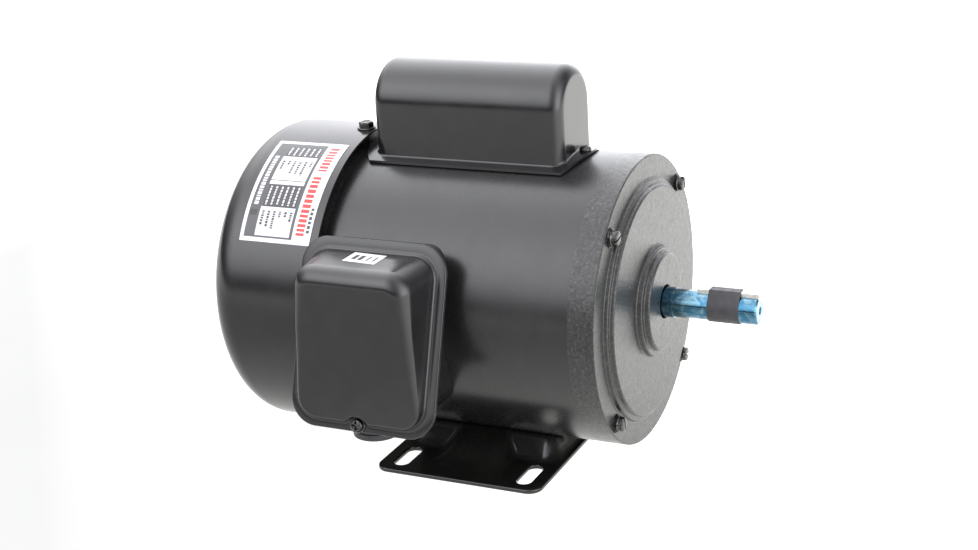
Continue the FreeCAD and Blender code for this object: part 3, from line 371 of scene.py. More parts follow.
def finish_cad_nodes():
    """Every CAD node gets the finish of its own material slot in the record."""
    for part in record["subparts"]:
        finish = "shell_paint" if part["node"] == "stator_shell" else part["material_slot"]
        for holder in nodes[part["node"]].material_slots:
            holder.material = finishes[finish]


# ---- mesh helpers -----------------------------------------------------------------------
def make_piece(name, bm, body, slot, replaces=(), sharp=35.0, material=None):
    """Turns a bmesh in the row frame into a smooth-shaded piece that rides on a body."""
    bmesh.ops.remove_doubles(bm, verts=bm.verts, dist=1e-7)
    bmesh.ops.recalc_face_normals(bm, faces=bm.faces)
    mesh = bpy.data.meshes.new(name)
    bm.to_mesh(mesh)
    bm.free()
    mesh.shade_smooth()
    mesh.set_sharp_from_angle(angle=math.radians(sharp))
    piece = bpy.data.objects.new(name, mesh)
    bpy.context.scene.collection.objects.link(piece)
    mesh.materials.append(material or finishes[slot])
    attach(piece, body)
    for node in replaces:
        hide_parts(node)
    return piece


def facing(origin, direction, spin=0.0):
    """Matrix that puts a part built along +Z at a point, facing a direction."""
    turn = Vector(direction).to_track_quat("Z", "Y").to_matrix().to_4x4()
    return Matrix.Translation(origin) @ turn @ Matrix.Rotation(spin, 4, "Z")


def revolve(bm, outline, matrix, steps=48):
    """Closed solid of revolution from (radius, height) points, axis to axis."""
    rings = []
    for radius, height in outline:
        if radius < 1e-9:
            rings.append([bm.verts.new(matrix @ Vector((0, 0, height)))])
            continue
        rings.append([bm.verts.new(matrix @ Vector((radius * math.cos(a), radius * math.sin(a),
                                                    height)))
                      for a in (2 * math.pi * i / steps for i in range(steps))])
    for low, high in zip(rings, rings[1:]):
        for i in range(steps):
            corners = [low[i % len(low)], low[(i + 1) % len(low)],
                       high[(i + 1) % len(high)], high[i % len(high)]]
            corners = list(dict.fromkeys(corners))
            if len(corners) > 2:
                bm.faces.new(corners)


def prism(bm, outline, low, high, matrix):
    """Straight prism over a flat outline of (x, y) points."""
    bottom = [bm.verts.new(matrix @ Vector((x, y, low))) for x, y in outline]
    top = [bm.verts.new(matrix @ Vector((x, y, high))) for x, y in outline]
    bm.faces.new(bottom)
    bm.faces.new(top)
    for i in range(len(outline)):
        j = (i + 1) % len(outline)
        bm.faces.new((bottom[i], bottom[j], top[j], top[i]))


def loose_object(bm, name):
    bmesh.ops.recalc_face_normals(bm, faces=bm.faces)
    mesh = bpy.data.meshes.new(name)
    bm.to_mesh(mesh)
    bm.free()
    made = bpy.data.objects.new(name, mesh)
    bpy.context.scene.collection.objects.link(made)
    return made


def carved(body_bm, tool_bm, operation="DIFFERENCE"):
    """The first solid cut by the second, as a new bmesh."""
    body, tool = loose_object(body_bm, "carve_body"), loose_object(tool_bm, "carve_tool")
    cut = body.modifiers.new("cut", "BOOLEAN")
    cut.operation, cut.object, cut.solver = operation, tool, "EXACT"
    graph = bpy.context.evaluated_depsgraph_get()
    result = bmesh.new()
    result.from_mesh(body.evaluated_get(graph).to_mesh())
    for made in (body, tool):
        mesh = made.data
        bpy.data.objects.remove(made)
        bpy.data.meshes.remove(mesh)
    return result


def rectangle(x0, x1, y0, y1):
    return [(x0, y0), (x1, y0), (x1, y1), (x0, y1)]


# ---- fasteners --------------------------------------------------------------------------
def fine_thread(shank_r, start, end, pitch=0.0008):
    """Outline of a threaded length, as close rings down a shank."""
    outline, height = [], start
    while height > end + pitch:
        outline += [(shank_r, height), (shank_r, height - pitch * 0.15),
                    (shank_r - pitch * 0.35, height - pitch * 0.5),
                    (shank_r - pitch * 0.35, height - pitch * 0.65)]
        height -= pitch
    return outline + [(shank_r * 0.8, end), (0, end)]


def through_bolt(length, shank_r, head_r, head_h, slot_w):
    """Slotted cheese head with a washer rim, drawn along +Z with its seat at height 0."""
    head = bmesh.new()
    revolve(head, [(0, -0.2 * MM), (head_r - 0.1 * MM, -0.2 * MM), (head_r, 0.1 * MM),
                   (head_r, 0.7 * MM), (head_r - 0.3 * MM, 0.95 * MM),
                   (head_r - 0.5 * MM, 1.2 * MM), (head_r - 0.6 * MM, head_h - 0.7 * MM),
                   (head_r - 0.8 * MM, head_h - 0.35 * MM), (head_r - 1.3 * MM, head_h - 0.1 * MM),
                   (head_r - 2.2 * MM, head_h), (0, head_h)], IDENTITY)
    tool = bmesh.new()
    prism(tool, rectangle(-slot_w / 2, slot_w / 2, -head_r * 1.2, head_r * 1.2),
          head_h - 1.5 * MM, head_h + MM, IDENTITY)
    head = carved(head, tool)
    shank = bmesh.new()
    revolve(shank, [(0, 0), (shank_r, 0), (shank_r, -length + 22 * MM)]
            + fine_thread(shank_r, -length + 22 * MM, -length), IDENTITY, steps=24)
    return carved(head, shank, "UNION")


def copies(source, matrices):
    """One bmesh holding a copy of the source at each matrix."""
    joined = bmesh.new()
    mesh = bpy.data.meshes.new("copy_source")
    source.to_mesh(mesh)
    source.free()
    for matrix in matrices:
        start = len(joined.verts)
        joined.from_mesh(mesh)
        joined.verts.ensure_lookup_table()
        bmesh.ops.transform(joined, matrix=matrix, verts=joined.verts[start:])
    bpy.data.meshes.remove(mesh)
    return joined


BOLT_CIRCLE_R = 0.0745
BOLT_ANGLES = (45, 135, 225, 315)
WASHER_T = 0.9 * MM
COVER_SCREW_ANGLES = (92, 212, 332)


def polar(radius, degrees, y):
    a = math.radians(degrees)
    return Vector((radius * math.cos(a), y, SHAFT_Z + radius * math.sin(a)))


def through_bolts():
    """Four slotted bolts that hold the two end bells to the shell."""
    low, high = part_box("through_bolts")
    seat_y = RIM_FACE - WASHER_T
    head_h = seat_y - low.y
    source = through_bolt(high.y - seat_y, 2.4 * MM, 4.6 * MM, head_h, 1.0 * MM)
    spins = (0.25, 1.75, 0.1, 1.3)
    places = [facing(polar(BOLT_CIRCLE_R, a, seat_y), (0, -1, 0), s)
              for a, s in zip(BOLT_ANGLES, spins)]
    make_piece("through_bolt_set", copies(source, places), "housing", "dark_zinc",
               ("through_bolts",), sharp=30)


def fan_cover_screws():
    """Hex washer-head screws with a dished top, facing out from the fan cover."""
    low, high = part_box("fan_cover_screws")
    y = (low.y + high.y) / 2
    head = bmesh.new()
    revolve(head, [(0, 0), (5.4 * MM, 0), (5.4 * MM, 0.6 * MM), (5.0 * MM, 1.0 * MM),
                   (0, 1.1 * MM)], IDENTITY)
    hexagon = bmesh.new()
    revolve(hexagon, [(0, 0.5 * MM), (4.3 * MM, 0.5 * MM), (4.3 * MM, 3.5 * MM),
                      (3.7 * MM, 4.1 * MM), (2.6 * MM, 4.2 * MM), (2.0 * MM, 3.8 * MM),
                      (0, 3.7 * MM)], IDENTITY, steps=6)
    head = carved(head, hexagon, "UNION")
    shank = bmesh.new()
    revolve(shank, [(0, 0.5 * MM), (2.1 * MM, 0.5 * MM)]
            + fine_thread(2.1 * MM, 0, -11 * MM), IDENTITY, steps=24)
    head = carved(head, shank, "UNION")
    places = []
    for angle in COVER_SCREW_ANGLES:
        out = polar(1.0, angle, 0) - Vector((0, 0, SHAFT_Z))
        places.append(facing(polar(FAN_COVER_R, angle, y), out, 0.3))
    make_piece("fan_cover_screw_set", copies(head, places), "housing", "dark_zinc",
               ("fan_cover_screws",), sharp=30)


def pan_head(head_r, head_h, shank_r, length):
    """Domed screw head on a threaded shank, along +Z with its seat at height 0."""
    outline = [(0, -length), (shank_r * 0.8, -length)]
    outline += fine_thread(shank_r, 0, -length)[-3::-1]
    outline += [(shank_r, 0), (head_r - 0.1 * MM, 0), (head_r, 0.2 * MM)]
    for i in range(9):
        a = math.pi / 2 * i / 8
        outline.append((head_r * (0.55 + 0.45 * math.cos(a)),
                        0.35 * head_h + 0.65 * head_h * math.sin(a)))
    outline.append((0, head_h))
    bm = bmesh.new()
    revolve(bm, outline, IDENTITY, steps=40)
    return bm


def conduit_cover_screw():
    """Pan head with a cross recess and a washer rim, square to the leaning flange."""
    tool = bmesh.new()
    wide, reach = 0.62 * MM, 2.5 * MM
    cross = []
    for turn in range(4):
        c, s = round(math.cos(math.pi / 2 * turn)), round(math.sin(math.pi / 2 * turn))
        cross += [(c * x - s * y, s * x + c * y)
                  for x, y in ((wide, -wide), (reach, -wide), (reach, wide))]
    prism(tool, cross, 1.0 * MM, 4 * MM, IDENTITY)
    rim = bmesh.new()
    revolve(rim, [(0, -0.1 * MM), (4.4 * MM, -0.1 * MM), (4.7 * MM, 0.2 * MM),
                  (4.7 * MM, 0.7 * MM), (4.45 * MM, 1.0 * MM), (3.9 * MM, 0.95 * MM),
                  (3.6 * MM, 0.6 * MM), (0, 0.6 * MM)], IDENTITY, steps=40)
    head = carved(pan_head(3.6 * MM, 3.0 * MM, 2.0 * MM, 5.0 * MM), rim, "UNION")
    head = carved(head, tool)
    seat = flange_point(SCREW_ALONG, SCREW_UP, 0)
    make_piece("conduit_screw", copies(head, [facing(seat, LEAN_OUT, 0.15)]), "housing",
               "dark_zinc", ("conduit_cover_screw",), sharp=30)


def capacitor_screws():
    """Slotted pan heads at the ends of the capacitor cover's flange."""
    low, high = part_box("capacitor_cover_screws")
    head_r, head_h = (high.x - low.x) / 2, 2.6 * MM
    tool = bmesh.new()
    prism(tool, rectangle(-0.45 * MM, 0.45 * MM, -2 * head_r, 2 * head_r), 1.3 * MM, 4 * MM,
          IDENTITY)
    head = carved(pan_head(head_r, head_h, 1.65 * MM, 9 * MM), tool)
    seats = [(Vector((0, low.y + head_r, high.z - head_h)), 0.5),
             (Vector((0, high.y - head_r, high.z - head_h)), 1.9)]
    places = [facing(seat, (0, 0, 1), spin) for seat, spin in seats]
    make_piece("capacitor_screw_set", copies(head, places), "housing", "dark_zinc",
               ("capacitor_cover_screws",), sharp=30)


# ---- shaft sleeve -----------------------------------------------------------------------
def over_key(radius, key_x, key_z, steps=48):
    """Outline of a skin stretched over a round shaft and the key on its top."""
    reach = math.hypot(key_x, key_z)
    start = math.degrees(math.atan2(key_z, key_x) - math.acos(radius / reach))
    return arc(0, 0, radius, 180 - start, 360 + start, steps) + [(key_x, key_z), (-key_x, key_z)]


def sleeve():
    """Thin plastic tube drawn tight over the shaft and its key."""
    low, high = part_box("shaft_sleeve")
    inner = over_key(8.0 * MM, 2.45 * MM, 10.14 * MM)
    middle = over_key(8.3 * MM, 2.7 * MM, 10.42 * MM)
    outer = over_key(8.5 * MM, 2.85 * MM, 10.60 * MM)
    lip = 0.2 * MM
    loops = [(inner, low.y), (middle, low.y), (outer, low.y + lip),
             (outer, high.y - lip), (middle, high.y), (inner, high.y)]
    bm = bmesh.new()
    rings = [[bm.verts.new((x, y, SHAFT_Z + z)) for x, z in loop] for loop, y in loops]
    for a, b in zip(rings, rings[1:] + rings[:1]):
        for i in range(len(inner)):
            j = (i + 1) % len(inner)
            bm.faces.new((a[i], a[j], b[j], b[i]))
    make_piece("sleeve", bm, "rotor", "black_plastic", ("shaft_sleeve",))


# ---- conduit box cover ------------------------------------------------------------------
LEAN = math.radians(18.7)
LEAN_UP = Vector((math.sin(LEAN), 0, math.cos(LEAN)))
LEAN_OUT = Vector((-math.cos(LEAN), 0, math.sin(LEAN)))
FLANGE_T = 1.4 * MM
cover_low, cover_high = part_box("conduit_box_cover")
FLANGE_HALF_H = (cover_high.z - cover_low.z - FLANGE_T * LEAN_UP.x) / LEAN_UP.z / 2
FLANGE_HALF_W = (cover_high.y - cover_low.y) / 2
FLANGE_CENTRE = Vector((cover_high.x - FLANGE_HALF_H * LEAN_UP.x - FLANGE_T * LEAN_UP.z,
                        (cover_high.y + cover_low.y) / 2,
                        cover_high.z - FLANGE_HALF_H * LEAN_UP.z))
FACE_X = cover_low.x
SCREW_ALONG, SCREW_UP = 1.2 * MM, -48.1 * MM     # from the flange's centre
NOTCH_R, NOTCH_BLEND = 7.4 * MM, 2.6 * MM


def flange_point(along, up, out):
    return FLANGE_CENTRE + Vector((0, along, 0)) + LEAN_UP * up + LEAN_OUT * out


def arc(cx, cy, radius, start, end, steps):
    return [(cx + radius * math.cos(math.radians(start + (end - start) * i / steps)),
             cy + radius * math.sin(math.radians(start + (end - start) * i / steps)))
            for i in range(steps + 1)]


def dented_rectangle(half_low, half_high, low, high, r_low, r_high, dented=True):
    """Anticlockwise outline with rounded corners and a round dent about the cover's screw.

    Undented, its lower side stays straight but is divided in the same way, so that outlines
    match point for point. Heights are measured from the flange's centre."""
    cx, cy, rn, blend = SCREW_ALONG, SCREW_UP, NOTCH_R, NOTCH_BLEND
    reach = math.sqrt((rn + blend) ** 2 - (low + blend - cy) ** 2)
    tip = math.degrees(math.atan2(low + blend - cy, reach))
    right = arc(cx + reach, low + blend, blend, 180 + tip, 270, 5)
    left = arc(cx - reach, low + blend, blend, 270, 360 - tip, 5)
    dent = arc(cx, cy, rn, 180 - tip, tip, 14)[1:-1]
    if not dented:
        stops = [left[0]] + between(left[0], right[-1], 24) + [right[-1]]
        stops = [(x, low) for x, _ in stops]
        left, dent, right = stops[:6], stops[6:-6], stops[-6:]
    points = right
    points += between(points[-1], (half_low - r_low, low), 8)
    points += arc(half_low - r_low, low + r_low, r_low, -90, 0, 12)
    points += between(points[-1], (half_high, high - r_high), 12)
    points += arc(half_high - r_high, high - r_high, r_high, 0, 90, 12)
    points += between(points[-1], (r_high - half_high, high), 14)
    points += arc(r_high - half_high, high - r_high, r_high, 90, 180, 12)
    points += between(points[-1], (-half_low, low + r_low), 12)
    points += arc(r_low - half_low, low + r_low, r_low, 180, 270, 12)
    points += between(points[-1], left[0], 8)
    return points + left + dent


def between(start, end, steps):
    """Points strictly between two others, evenly spaced."""
    return [(start[0] + (end[0] - start[0]) * i / steps,
             start[1] + (end[1] - start[1]) * i / steps) for i in range(1, steps)]


def normals_of(points):
    """Outward unit normals of an anticlockwise outline."""
    found = []
    for i in range(len(points)):
        ax, ay = points[i - 1]
        bx, by = points[(i + 1) % len(points)]
        length = math.hypot(bx - ax, by - ay)
        found.append(((by - ay) / length, (ax - bx) / length))
    return found


def conic(start, corner, end, t):
    """Point on a rounded corner between two straight runs."""
    a, b, c = (1 - t) ** 2, 1.5 * t * (1 - t), t * t
    return (start * a + corner * b + end * c) / (a + b + c)


def smooth(value):
    value = min(1.0, max(0.0, value))
    return value * value * (3 - 2 * value)


def conduit_cover():
    """Drawn sheet cover: flat flange, wedge-shaped body, soft upper edges, screw notch."""
    rim = dented_rectangle(FLANGE_HALF_W, FLANGE_HALF_W, -FLANGE_HALF_H, FLANGE_HALF_H,
                           16 * MM, 16 * MM, dented=False)
    foot = dented_rectangle(38 * MM, 38 * MM, -45.8 * MM, 45.4 * MM, 12 * MM, 12 * MM)
    face = dented_rectangle(36.6 * MM, 34.0 * MM, -44.2 * MM, 42.0 * MM, 11 * MM, 12 * MM)
    rim_out, foot_out, face_out = normals_of(rim), normals_of(foot), normals_of(face)
    root = 1.6 * MM
    loops = [[] for _ in range(19)]
    for i in range(len(foot)):
        (rx, ry), (rnx, rny) = rim[i], rim_out[i]
        for k, (inset, drop) in enumerate(((0, 0.8), (0.22, 0.24), (0.8, 0))):
            loops[k].append(flange_point(rx - rnx * inset * MM, ry - rny * inset * MM,
                                         -drop * MM))
        base = flange_point(*foot[i], 0)
        outward = Vector((0, foot_out[i][0], 0)) + LEAN_UP * foot_out[i][1]
        crest = Vector((FACE_X, FLANGE_CENTRE.y + face[i][0], FLANGE_CENTRE.z + face[i][1]))
        inward = Vector((0, -face_out[i][0], -face_out[i][1]))
        wall = crest - base
        height = wall.length
        wall.normalize()
        loops[3].append(base + outward * (root + 0.8 * MM))
        for k in range(6):
            loops[4 + k].append(conic(base + outward * root, base, base + wall * root, k / 5))
        up = face[i][1]
        bend = (4.6 + 4.4 * smooth(up / (40 * MM)) - 2.4 * smooth(-up / (36 * MM))) * MM
        drop = min(bend, height - root - 0.4 * MM)
        for k in range(9):
            loops[10 + k].append(conic(crest - wall * drop, crest, crest + inward * bend, k / 8))
    bm = bmesh.new()
    rings = [[bm.verts.new(p) for p in loop] for loop in loops]
    for low, high in zip(rings, rings[1:]):
        for i in range(len(foot)):
            j = (i + 1) % len(foot)
            bm.faces.new((low[i], low[j], high[j], high[i]))
    bm.faces.new(rings[-1])
    piece = make_piece("conduit_cover", bm, "housing", "black_paint", ("conduit_box_cover",),
                       sharp=50)
    shell = piece.modifiers.new("sheet", "SOLIDIFY")
    shell.thickness = FLANGE_T
    shell.offset = -1
    return piece


def wiring_sticker(cover):
    """Small white film with a few plain marks, on the upper wall of the conduit cover."""
    surface = BVHTree.FromObject(cover, bpy.context.evaluated_depsgraph_get())
    centre, turn = Vector((-0.0945, 0.0365)), math.radians(-3)
    across = Vector((math.cos(turn), math.sin(turn)))
    along = Vector((-math.sin(turn), math.cos(turn)))

    def film(bm, a0, a1, b0, b1, low, high, steps=6):
        """Thin block laid on the wall, from a0 to a1 across it and b0 to b1 along Y."""
        layers = []
        for lift in (low, high):
            grid = []
            for i in range(steps + 1):
                row = []
                for j in range(steps + 1):
                    at = (centre + across * (a0 + (a1 - a0) * i / steps)
                          + along * (b0 + (b1 - b0) * j / steps))
                    hit, normal, _, _ = surface.ray_cast(Vector((*at, 0.2)), Vector((0, 0, -1)))
                    row.append(bm.verts.new(hit + normal * lift))
                grid.append(row)
            layers.append(grid)
        stitch(bm, layers)

    paper = bmesh.new()
    film(paper, -6.6 * MM, 6.6 * MM, -10 * MM, 10 * MM, 0, 0.10 * MM)
    make_piece("wiring_sticker", paper, "housing", "label")
    marks = bmesh.new()
    for k in range(4):
        start = (-7.4 + 3.9 * k) * MM
        film(marks, -3.2 * MM, 3.2 * MM, start, start + (1.1, 1.1, 2.6, 2.4)[k] * MM,
             0.10 * MM, 0.13 * MM, steps=3)
    make_piece("wiring_sticker_marks", marks, "housing", "label", material=INKS["dark"])


def stitch(bm, layers):
    """Faces of a thin block whose lower and upper sides are grids of vertices."""
    low, high = layers
    rows, columns = len(low), len(low[0])
    for i in range(rows - 1):
        for j in range(columns - 1):
            bm.faces.new((high[i][j], high[i + 1][j], high[i + 1][j + 1], high[i][j + 1]))
            bm.faces.new((low[i][j], low[i][j + 1], low[i + 1][j + 1], low[i + 1][j]))
    edge = [(i, 0) for i in range(rows)] + [(rows - 1, j) for j in range(1, columns)]
    edge += [(i, columns - 1) for i in range(rows - 2, -1, -1)]
    edge += [(0, j) for j in range(columns - 2, 0, -1)]
    for (a, b), (c, d) in zip(edge, edge[1:] + edge[:1]):
        bm.faces.new((low[a][b], low[c][d], high[c][d], high[a][b]))


# ---- foot base --------------------------------------------------------------------------
BASE_T = 2.6 * MM
base_low, base_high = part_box("foot_base")
slot_dims = record["mounts"][0]["dims"]
SLOT_X, SLOT_Y = slot_dims["spacing_x_mm"] / 2, slot_dims["spacing_y_mm"] / 2
SLOT_R, SLOT_HALF = 4.35 * MM, 7.65 * MM
CRADLE_RISE = 13.7 * MM
BASE_CORNER_R, EDGE_ROUNDING = 8 * MM, 0.8 * MM


def edge_distance(x, y):
    """How far a point lies inside the sheet from its rounded outline or the nearest slot."""
    r = BASE_CORNER_R
    dx, dy = abs(x) - (base_high.x - r), abs(y) - (base_high.y - r)
    outer = r - math.hypot(max(dx, 0), max(dy, 0)) - min(max(dx, dy), 0)
    run = max(abs(abs(x) - SLOT_X * MM) - SLOT_HALF, 0)
    slot = math.hypot(run, abs(y) - SLOT_Y * MM) - SLOT_R
    return min(outer, slot)


def pressed_rise(x, y):
    """Height pressed into the sheet: a cradle under the shell and a ramp to its middle."""
    ax, ay = abs(x), abs(y)
    cradle = (1 - smooth((ax - 34 * MM) / (15 * MM))) * (1 - smooth((ay - 39 * MM) / (10 * MM)))
    ramp = (1 - smooth((ax - 28 * MM) / (44 * MM))) * (1 - smooth((ay - 12 * MM) / (14 * MM)))
    rise = CRADLE_RISE * (cradle + ramp + math.sqrt((cradle - ramp) ** 2 + 0.02)) / 2
    rise -= CRADLE_RISE * 0.5 * math.sqrt(0.02) * (1 - max(cradle, ramp))
    if ax < SHELL_R:
        under_shell = SHAFT_Z - math.sqrt(SHELL_R ** 2 - ax ** 2) - BASE_T - 0.05 * MM
        rise = min(rise, max(under_shell, 0))
    return rise


def base_loops():
    """The sheet's outline and slots, each with closer and closer loops beside its edge."""
    hx, hy, r = base_high.x, base_high.y, BASE_CORNER_R
    outline, slots = [], []
    for cx, cy, start in ((hx - r, hy - r, 0), (r - hx, hy - r, 90), (r - hx, r - hy, 180),
                          (hx - r, r - hy, 270)):
        outline += arc(cx, cy, r, start, start + 90, 10)
    for sx in (-1, 1):
        for sy in (-1, 1):
            x, y = sx * SLOT_X * MM, sy * SLOT_Y * MM
            slots.append(arc(x + SLOT_HALF, y, SLOT_R, -90, 90, 16)
                         + arc(x - SLOT_HALF, y, SLOT_R, 90, 270, 16))
    loops = []
    for points in [outline] + slots:
        inward = -1 if points is outline else 1
        for inset in (0, 0.15 * MM, 0.4 * MM, EDGE_ROUNDING):
            loops.append([(x + inward * nx * inset, y + inward * ny * inset)
                          for (x, y), (nx, ny) in zip(points, normals_of(points))])
    return loops


def base_triangles():
    """Flat points and faces that cover the sheet, fine enough to take the pressed shape."""
    points, edges = [], []
    for loop in base_loops():
        start = len(points)
        points += loop
        edges += [(start + i, start + (i + 1) % len(loop)) for i in range(len(loop))]
    step = 1.7 * MM
    for i in range(int(2 * base_high.x / step)):
        for j in range(int(2 * base_high.y / step)):
            x = -base_high.x + step * (i + 0.5 + 0.5 * (j % 2))
            y = -base_high.y + step * (j + 0.5)
            if edge_distance(x, y) > step:
                points.append((x, y))
    flat, _, faces, _, _, _ = delaunay_2d_cdt([Vector(p) for p in points], edges, [], 0, 1e-7)
    return flat, faces


def foot_base():
    """Pressed steel sheet with four slots, flat margins and a raised middle."""
    flat, faces = base_triangles()
    bm = bmesh.new()
    upper, lower = [], []
    for x, y in flat:
        short = EDGE_ROUNDING - min(max(edge_distance(x, y), 0), EDGE_ROUNDING)
        drop = EDGE_ROUNDING - math.sqrt(EDGE_ROUNDING ** 2 - short ** 2)
        rise = pressed_rise(x, y)
        upper.append(bm.verts.new((x, y, BASE_T + rise - drop)))
        lower.append(bm.verts.new((x, y, rise + drop)))
    rims = set()
    for corners in faces:
        middle = sum((flat[c] for c in corners), Vector((0, 0))) / len(corners)
        if edge_distance(*middle) < 0:
            continue
        bm.faces.new([upper[c] for c in corners])
        bm.faces.new([lower[c] for c in reversed(corners)])
        for a, b in zip(corners, corners[1:] + corners[:1]):
            if (b, a) in rims:
                rims.remove((b, a))
            else:
                rims.add((a, b))
    for a, b in sorted(rims):
        bm.faces.new((upper[a], lower[a], lower[b], upper[b]))
    bmesh.ops.delete(bm, geom=[v for v in bm.verts if not v.link_faces], context="VERTS")
    make_piece("mounting_base", bm, "housing", "base_paint", ("foot_base",), sharp=50)


# ---- rating label -----------------------------------------------------------------------
LABEL_R = 90.32 * MM
LABEL_TOP, LABEL_FOOT = 107.5, 152.0             # degrees from +X
label_low, label_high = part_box("rating_plate")


def label_film(bm, u0, u1, v0, v1, level):
    """Thin ink block on the label: u runs down it, v from its rear edge to its front one."""
    steps = max(2, int((u1 - u0) * 40))
    layers = []
    for lift in (level * 0.02 * MM, (level + 1) * 0.02 * MM):
        grid = []
        for i in range(steps + 1):
            angle = LABEL_TOP + (LABEL_FOOT - LABEL_TOP) * (u0 + (u1 - u0) * i / steps)
            grid.append([bm.verts.new(polar(LABEL_R + lift, angle, label_high.y
                                            - (label_high.y - label_low.y) * v))
                         for v in (v0, v1)])
        layers.append(grid)
    stitch(bm, layers)


def rating_label():
    """Plain generic layout: a grey table of cells with bars for words, and red bars."""
    dice = random.Random(7)
    inks = {name: bmesh.new() for name in INKS}
    label_film(inks["grey"], 0.035, 0.965, 0.05, 0.74, 0)
    columns = [0.225 + 0.08 * i for i in range(6)]
    for start, end in ((0.075, 0.195), (0.505, 0.70)):
        for v in columns:
            label_film(inks["dark"], start, end, v, v + 0.066, 1)
            bars(inks["pale"], dice, start + 0.012, end - 0.012, v + 0.02, v + 0.046, 2,
                 (0.012, 0.03))
    for start, end in ((0.20, 0.455), (0.462, 0.498), (0.705, 0.95)):
        label_film(inks["pale"], start, end, 0.205, 0.70, 1)
    for start, end in ((0.25, 0.42), (0.74, 0.93)):
        for v in columns:
            stop = start + (end - start) * dice.uniform(0.25, 0.95)
            bars(inks["dark"], dice, start, stop, v + 0.016, v + 0.05, 2, (0.010, 0.022))
    bars(inks["pale"], dice, 0.20, 0.70, 0.09, 0.15, 1, (0.014, 0.03))
    label_film(inks["dark"], 0.735, 0.785, 0.06, 0.17, 1)
    bars(inks["red"], dice, 0.06, 0.34, 0.80, 0.92, 0, (0.018, 0.034))
    bars(inks["red"], dice, 0.40, 0.94, 0.785, 0.90, 0, (0.022, 0.034))
    bars(inks["dark"], dice, 0.69, 0.90, 0.925, 0.965, 0, (0.020, 0.028))
    for name, bm in inks.items():
        make_piece("label_ink_" + name, bm, "housing", "label", material=INKS[name])


def bars(bm, dice, u0, u1, v0, v1, level, lengths):
    """A row of short bars with gaps, standing for words."""
    u = u0
    while u < u1:
        length = dice.uniform(*lengths)
        label_film(bm, u, min(u + length, u1), v0, v1, level)
        u += length + lengths[0] * 0.6


# ---- studio -----------------------------------------------------------------------------
FLOOR_R, FLOOR_DROP = 3.0, 0.0005
FLOOR_GLOW_LEFT, FLOOR_GLOW_RIGHT = 0.46, 2.35   # brighter beyond the drive end
FLOOR_GLOW_FAR = 0.92


def floor():
    """Plain pale floor that glows a little, brighter towards the front right."""
    bm = bmesh.new()
    revolve(bm, [(0, -0.02), (FLOOR_R, -0.02), (FLOOR_R, -FLOOR_DROP), (0, -FLOOR_DROP)],
            IDENTITY, steps=96)
    piece = loose_object(bm, "floor")
    s = Surface("floor_white", roughness=0.8, specular=0.2)
    s.colour(s.noise(0.4, 2.0), (0.3, (0.15, 0.15, 0.15)), (0.7, (0.17, 0.17, 0.17)))
    s.shader.inputs["Emission Color"].default_value = (1.0, 1.0, 0.965, 1.0)
    split = s.node("ShaderNodeSeparateXYZ")
    s.link(s.stretched((0.8, -0.9, 0)), split.inputs["Vector"])
    rightward = s.math("ADD", split.outputs["X"], split.outputs["Y"])
    side = s.remap(rightward, FLOOR_GLOW_LEFT, FLOOR_GLOW_RIGHT, -0.33, 0.42)
    away = s.node("ShaderNodeVectorMath", operation="LENGTH")
    s.link(s.place, away.inputs[0])
    far = s.remap(away.outputs["Value"], 0.0, FLOOR_GLOW_FAR, 0.30, 0.85)
    s.link(s.math("MAXIMUM", side, far), s.shader.inputs["Emission Strength"])
    piece.data.materials.append(s.material)


# Soft light round the motor. Each glow: azimuth and elevation in degrees from +X towards
# +Y, how tightly it is gathered, how bright it is, and whether it stops above the horizon.
GLOWS = (
    (265, 0, 9, 3.8, False),        # white wall beyond the drive end
    (238, 0, 9, 2.0, False),        # and round behind the camera
    (252, 24, 9, 2.4, False),
    (2, 12, 7, 3.6, False),         # white wall to the right
    (36, 26, 9, 1.6, False),
    (147, 30, 8, 4.4, True),        # soft box behind the fan cover
    (185, 26, 9, 0.9, True),
    (60, 48, 9, 3.4, True),         # soft boxes high at the rear
    (120, 50, 9, 1.8, True),
    (0, 50, 9, 1.7, True),
    (240, 48, 9, 1.1, True),
    (0, 88, 7, 2.4, True),          # overhead
)
AMBIENT = 0.06
WHITE, SKY_TINT = (1.0, 1.0, 1.0, 1.0), (0.96, 0.965, 1.0, 1.0)


def wired(tree, kind, inputs, output, **settings):
    """A new node with each input linked or set; gives one of its outputs."""
    made = tree.nodes.new(kind)
    for key, value in settings.items():
        setattr(made, key, value)
    for socket, value in inputs.items():
        if isinstance(value, bpy.types.NodeSocket):
            tree.links.new(value, made.inputs[socket])
        else:
            made.inputs[socket].default_value = value
    return made.outputs[output]


def glow_level(tree, place, azimuth, elevation, focus, strength):
    """Brightness of one glow, fading away from its direction."""
    a, e = math.radians(azimuth), math.radians(elevation)
    toward = (math.cos(a) * math.cos(e), math.sin(a) * math.cos(e), math.sin(e))
    dot = wired(tree, "ShaderNodeVectorMath", {0: place, 1: toward}, "Value",
                operation="DOT_PRODUCT")
    near = wired(tree, "ShaderNodeMath", {0: dot, 1: 0.0}, "Value", operation="MAXIMUM")
    spot = wired(tree, "ShaderNodeMath", {0: near, 1: focus}, "Value", operation="POWER")
    return wired(tree, "ShaderNodeMath", {0: spot, 1: strength}, "Value", operation="MULTIPLY")


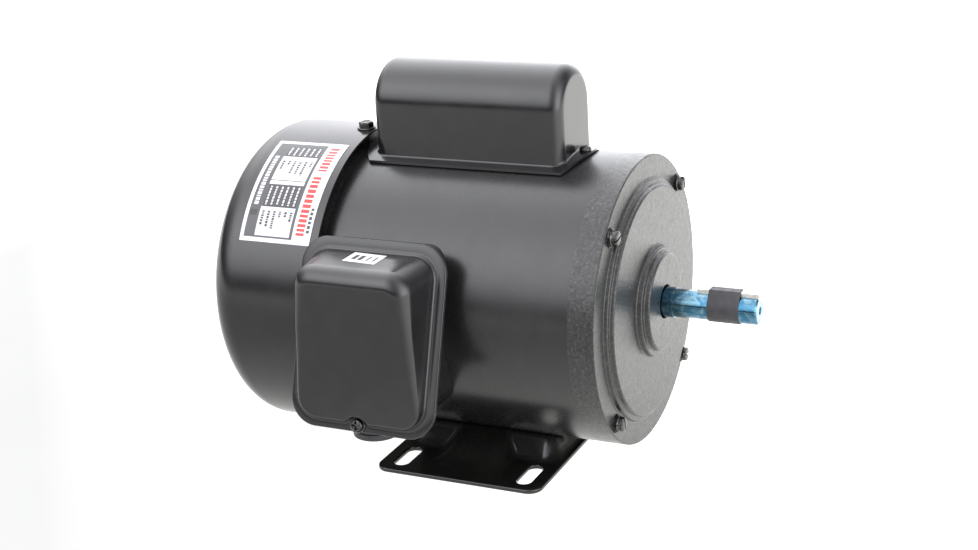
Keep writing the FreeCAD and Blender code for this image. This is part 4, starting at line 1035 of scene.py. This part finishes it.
def world_light():
    """Plain white background, with soft glows all round that light the motor."""
    world = bpy.data.worlds.new("studio")
    bpy.context.scene.world = world
    world.use_nodes = True
    tree = world.node_tree
    tree.nodes.clear()
    place = wired(tree, "ShaderNodeTexCoord", {}, "Generated")
    height = wired(tree, "ShaderNodeSeparateXYZ", {"Vector": place}, "Z")
    above = wired(tree, "ShaderNodeMapRange", {"Value": height, "From Min": 0.03,
                                               "From Max": 0.22}, "Result",
                  interpolation_type="SMOOTHSTEP")
    light = wired(tree, "ShaderNodeBackground", {"Color": WHITE, "Strength": AMBIENT},
                  "Background")
    for azimuth, elevation, focus, strength, stops in GLOWS:
        level = glow_level(tree, place, azimuth, elevation, focus, strength)
        if stops:
            level = wired(tree, "ShaderNodeMath", {0: level, 1: above}, "Value",
                          operation="MULTIPLY")
        glow = wired(tree, "ShaderNodeBackground", {"Color": SKY_TINT, "Strength": level},
                     "Background")
        light = wired(tree, "ShaderNodeAddShader", {0: light, 1: glow}, "Shader")
    seen = wired(tree, "ShaderNodeLightPath", {}, "Is Camera Ray")
    white = wired(tree, "ShaderNodeBackground", {"Color": WHITE}, "Background")
    both = wired(tree, "ShaderNodeMixShader", {"Fac": seen, 1: light, 2: white}, "Shader")
    tree.links.new(both, tree.nodes.new("ShaderNodeOutputWorld").inputs["Surface"])


CAMERA_AZIMUTH, CAMERA_ELEVATION, CAMERA_ROLL = -63.78, 19.05, -3.50
CAMERA_DISTANCE, CAMERA_LENS = 0.9335, 59.31
CAMERA_SIDE, CAMERA_RAISE = -0.00944, 0.0059


def camera():
    a, e, roll = (math.radians(x) for x in (CAMERA_AZIMUTH, CAMERA_ELEVATION, CAMERA_ROLL))
    back = Vector((math.sin(a) * math.cos(e), -math.cos(a) * math.cos(e), math.sin(e)))
    level = (-back).cross(Vector((0, 0, 1))).normalized()
    upright = level.cross(-back)
    right = level * math.cos(roll) + upright * math.sin(roll)
    up = upright * math.cos(roll) - level * math.sin(roll)
    data = bpy.data.cameras.new("camera")
    data.lens, data.sensor_width = CAMERA_LENS, 36.0
    data.clip_start, data.clip_end = 0.01, 20.0
    eye = bpy.data.objects.new("camera", data)
    bpy.context.scene.collection.objects.link(eye)
    turn = Matrix((right, up, back)).transposed().to_4x4()
    place = (Vector((0, 0, SHAFT_Z)) + back * CAMERA_DISTANCE + right * CAMERA_SIDE
             + up * CAMERA_RAISE)
    eye.matrix_world = Matrix.Translation(place) @ turn
    bpy.context.scene.camera = eye


camera()
world_light()
floor()
bpy.context.scene.view_settings.view_transform = "Standard"
finish_cad_nodes()
through_bolts()
fan_cover_screws()
capacitor_screws()
conduit_cover_screw()
sleeve()
wiring_sticker(conduit_cover())
foot_base()
rating_label()
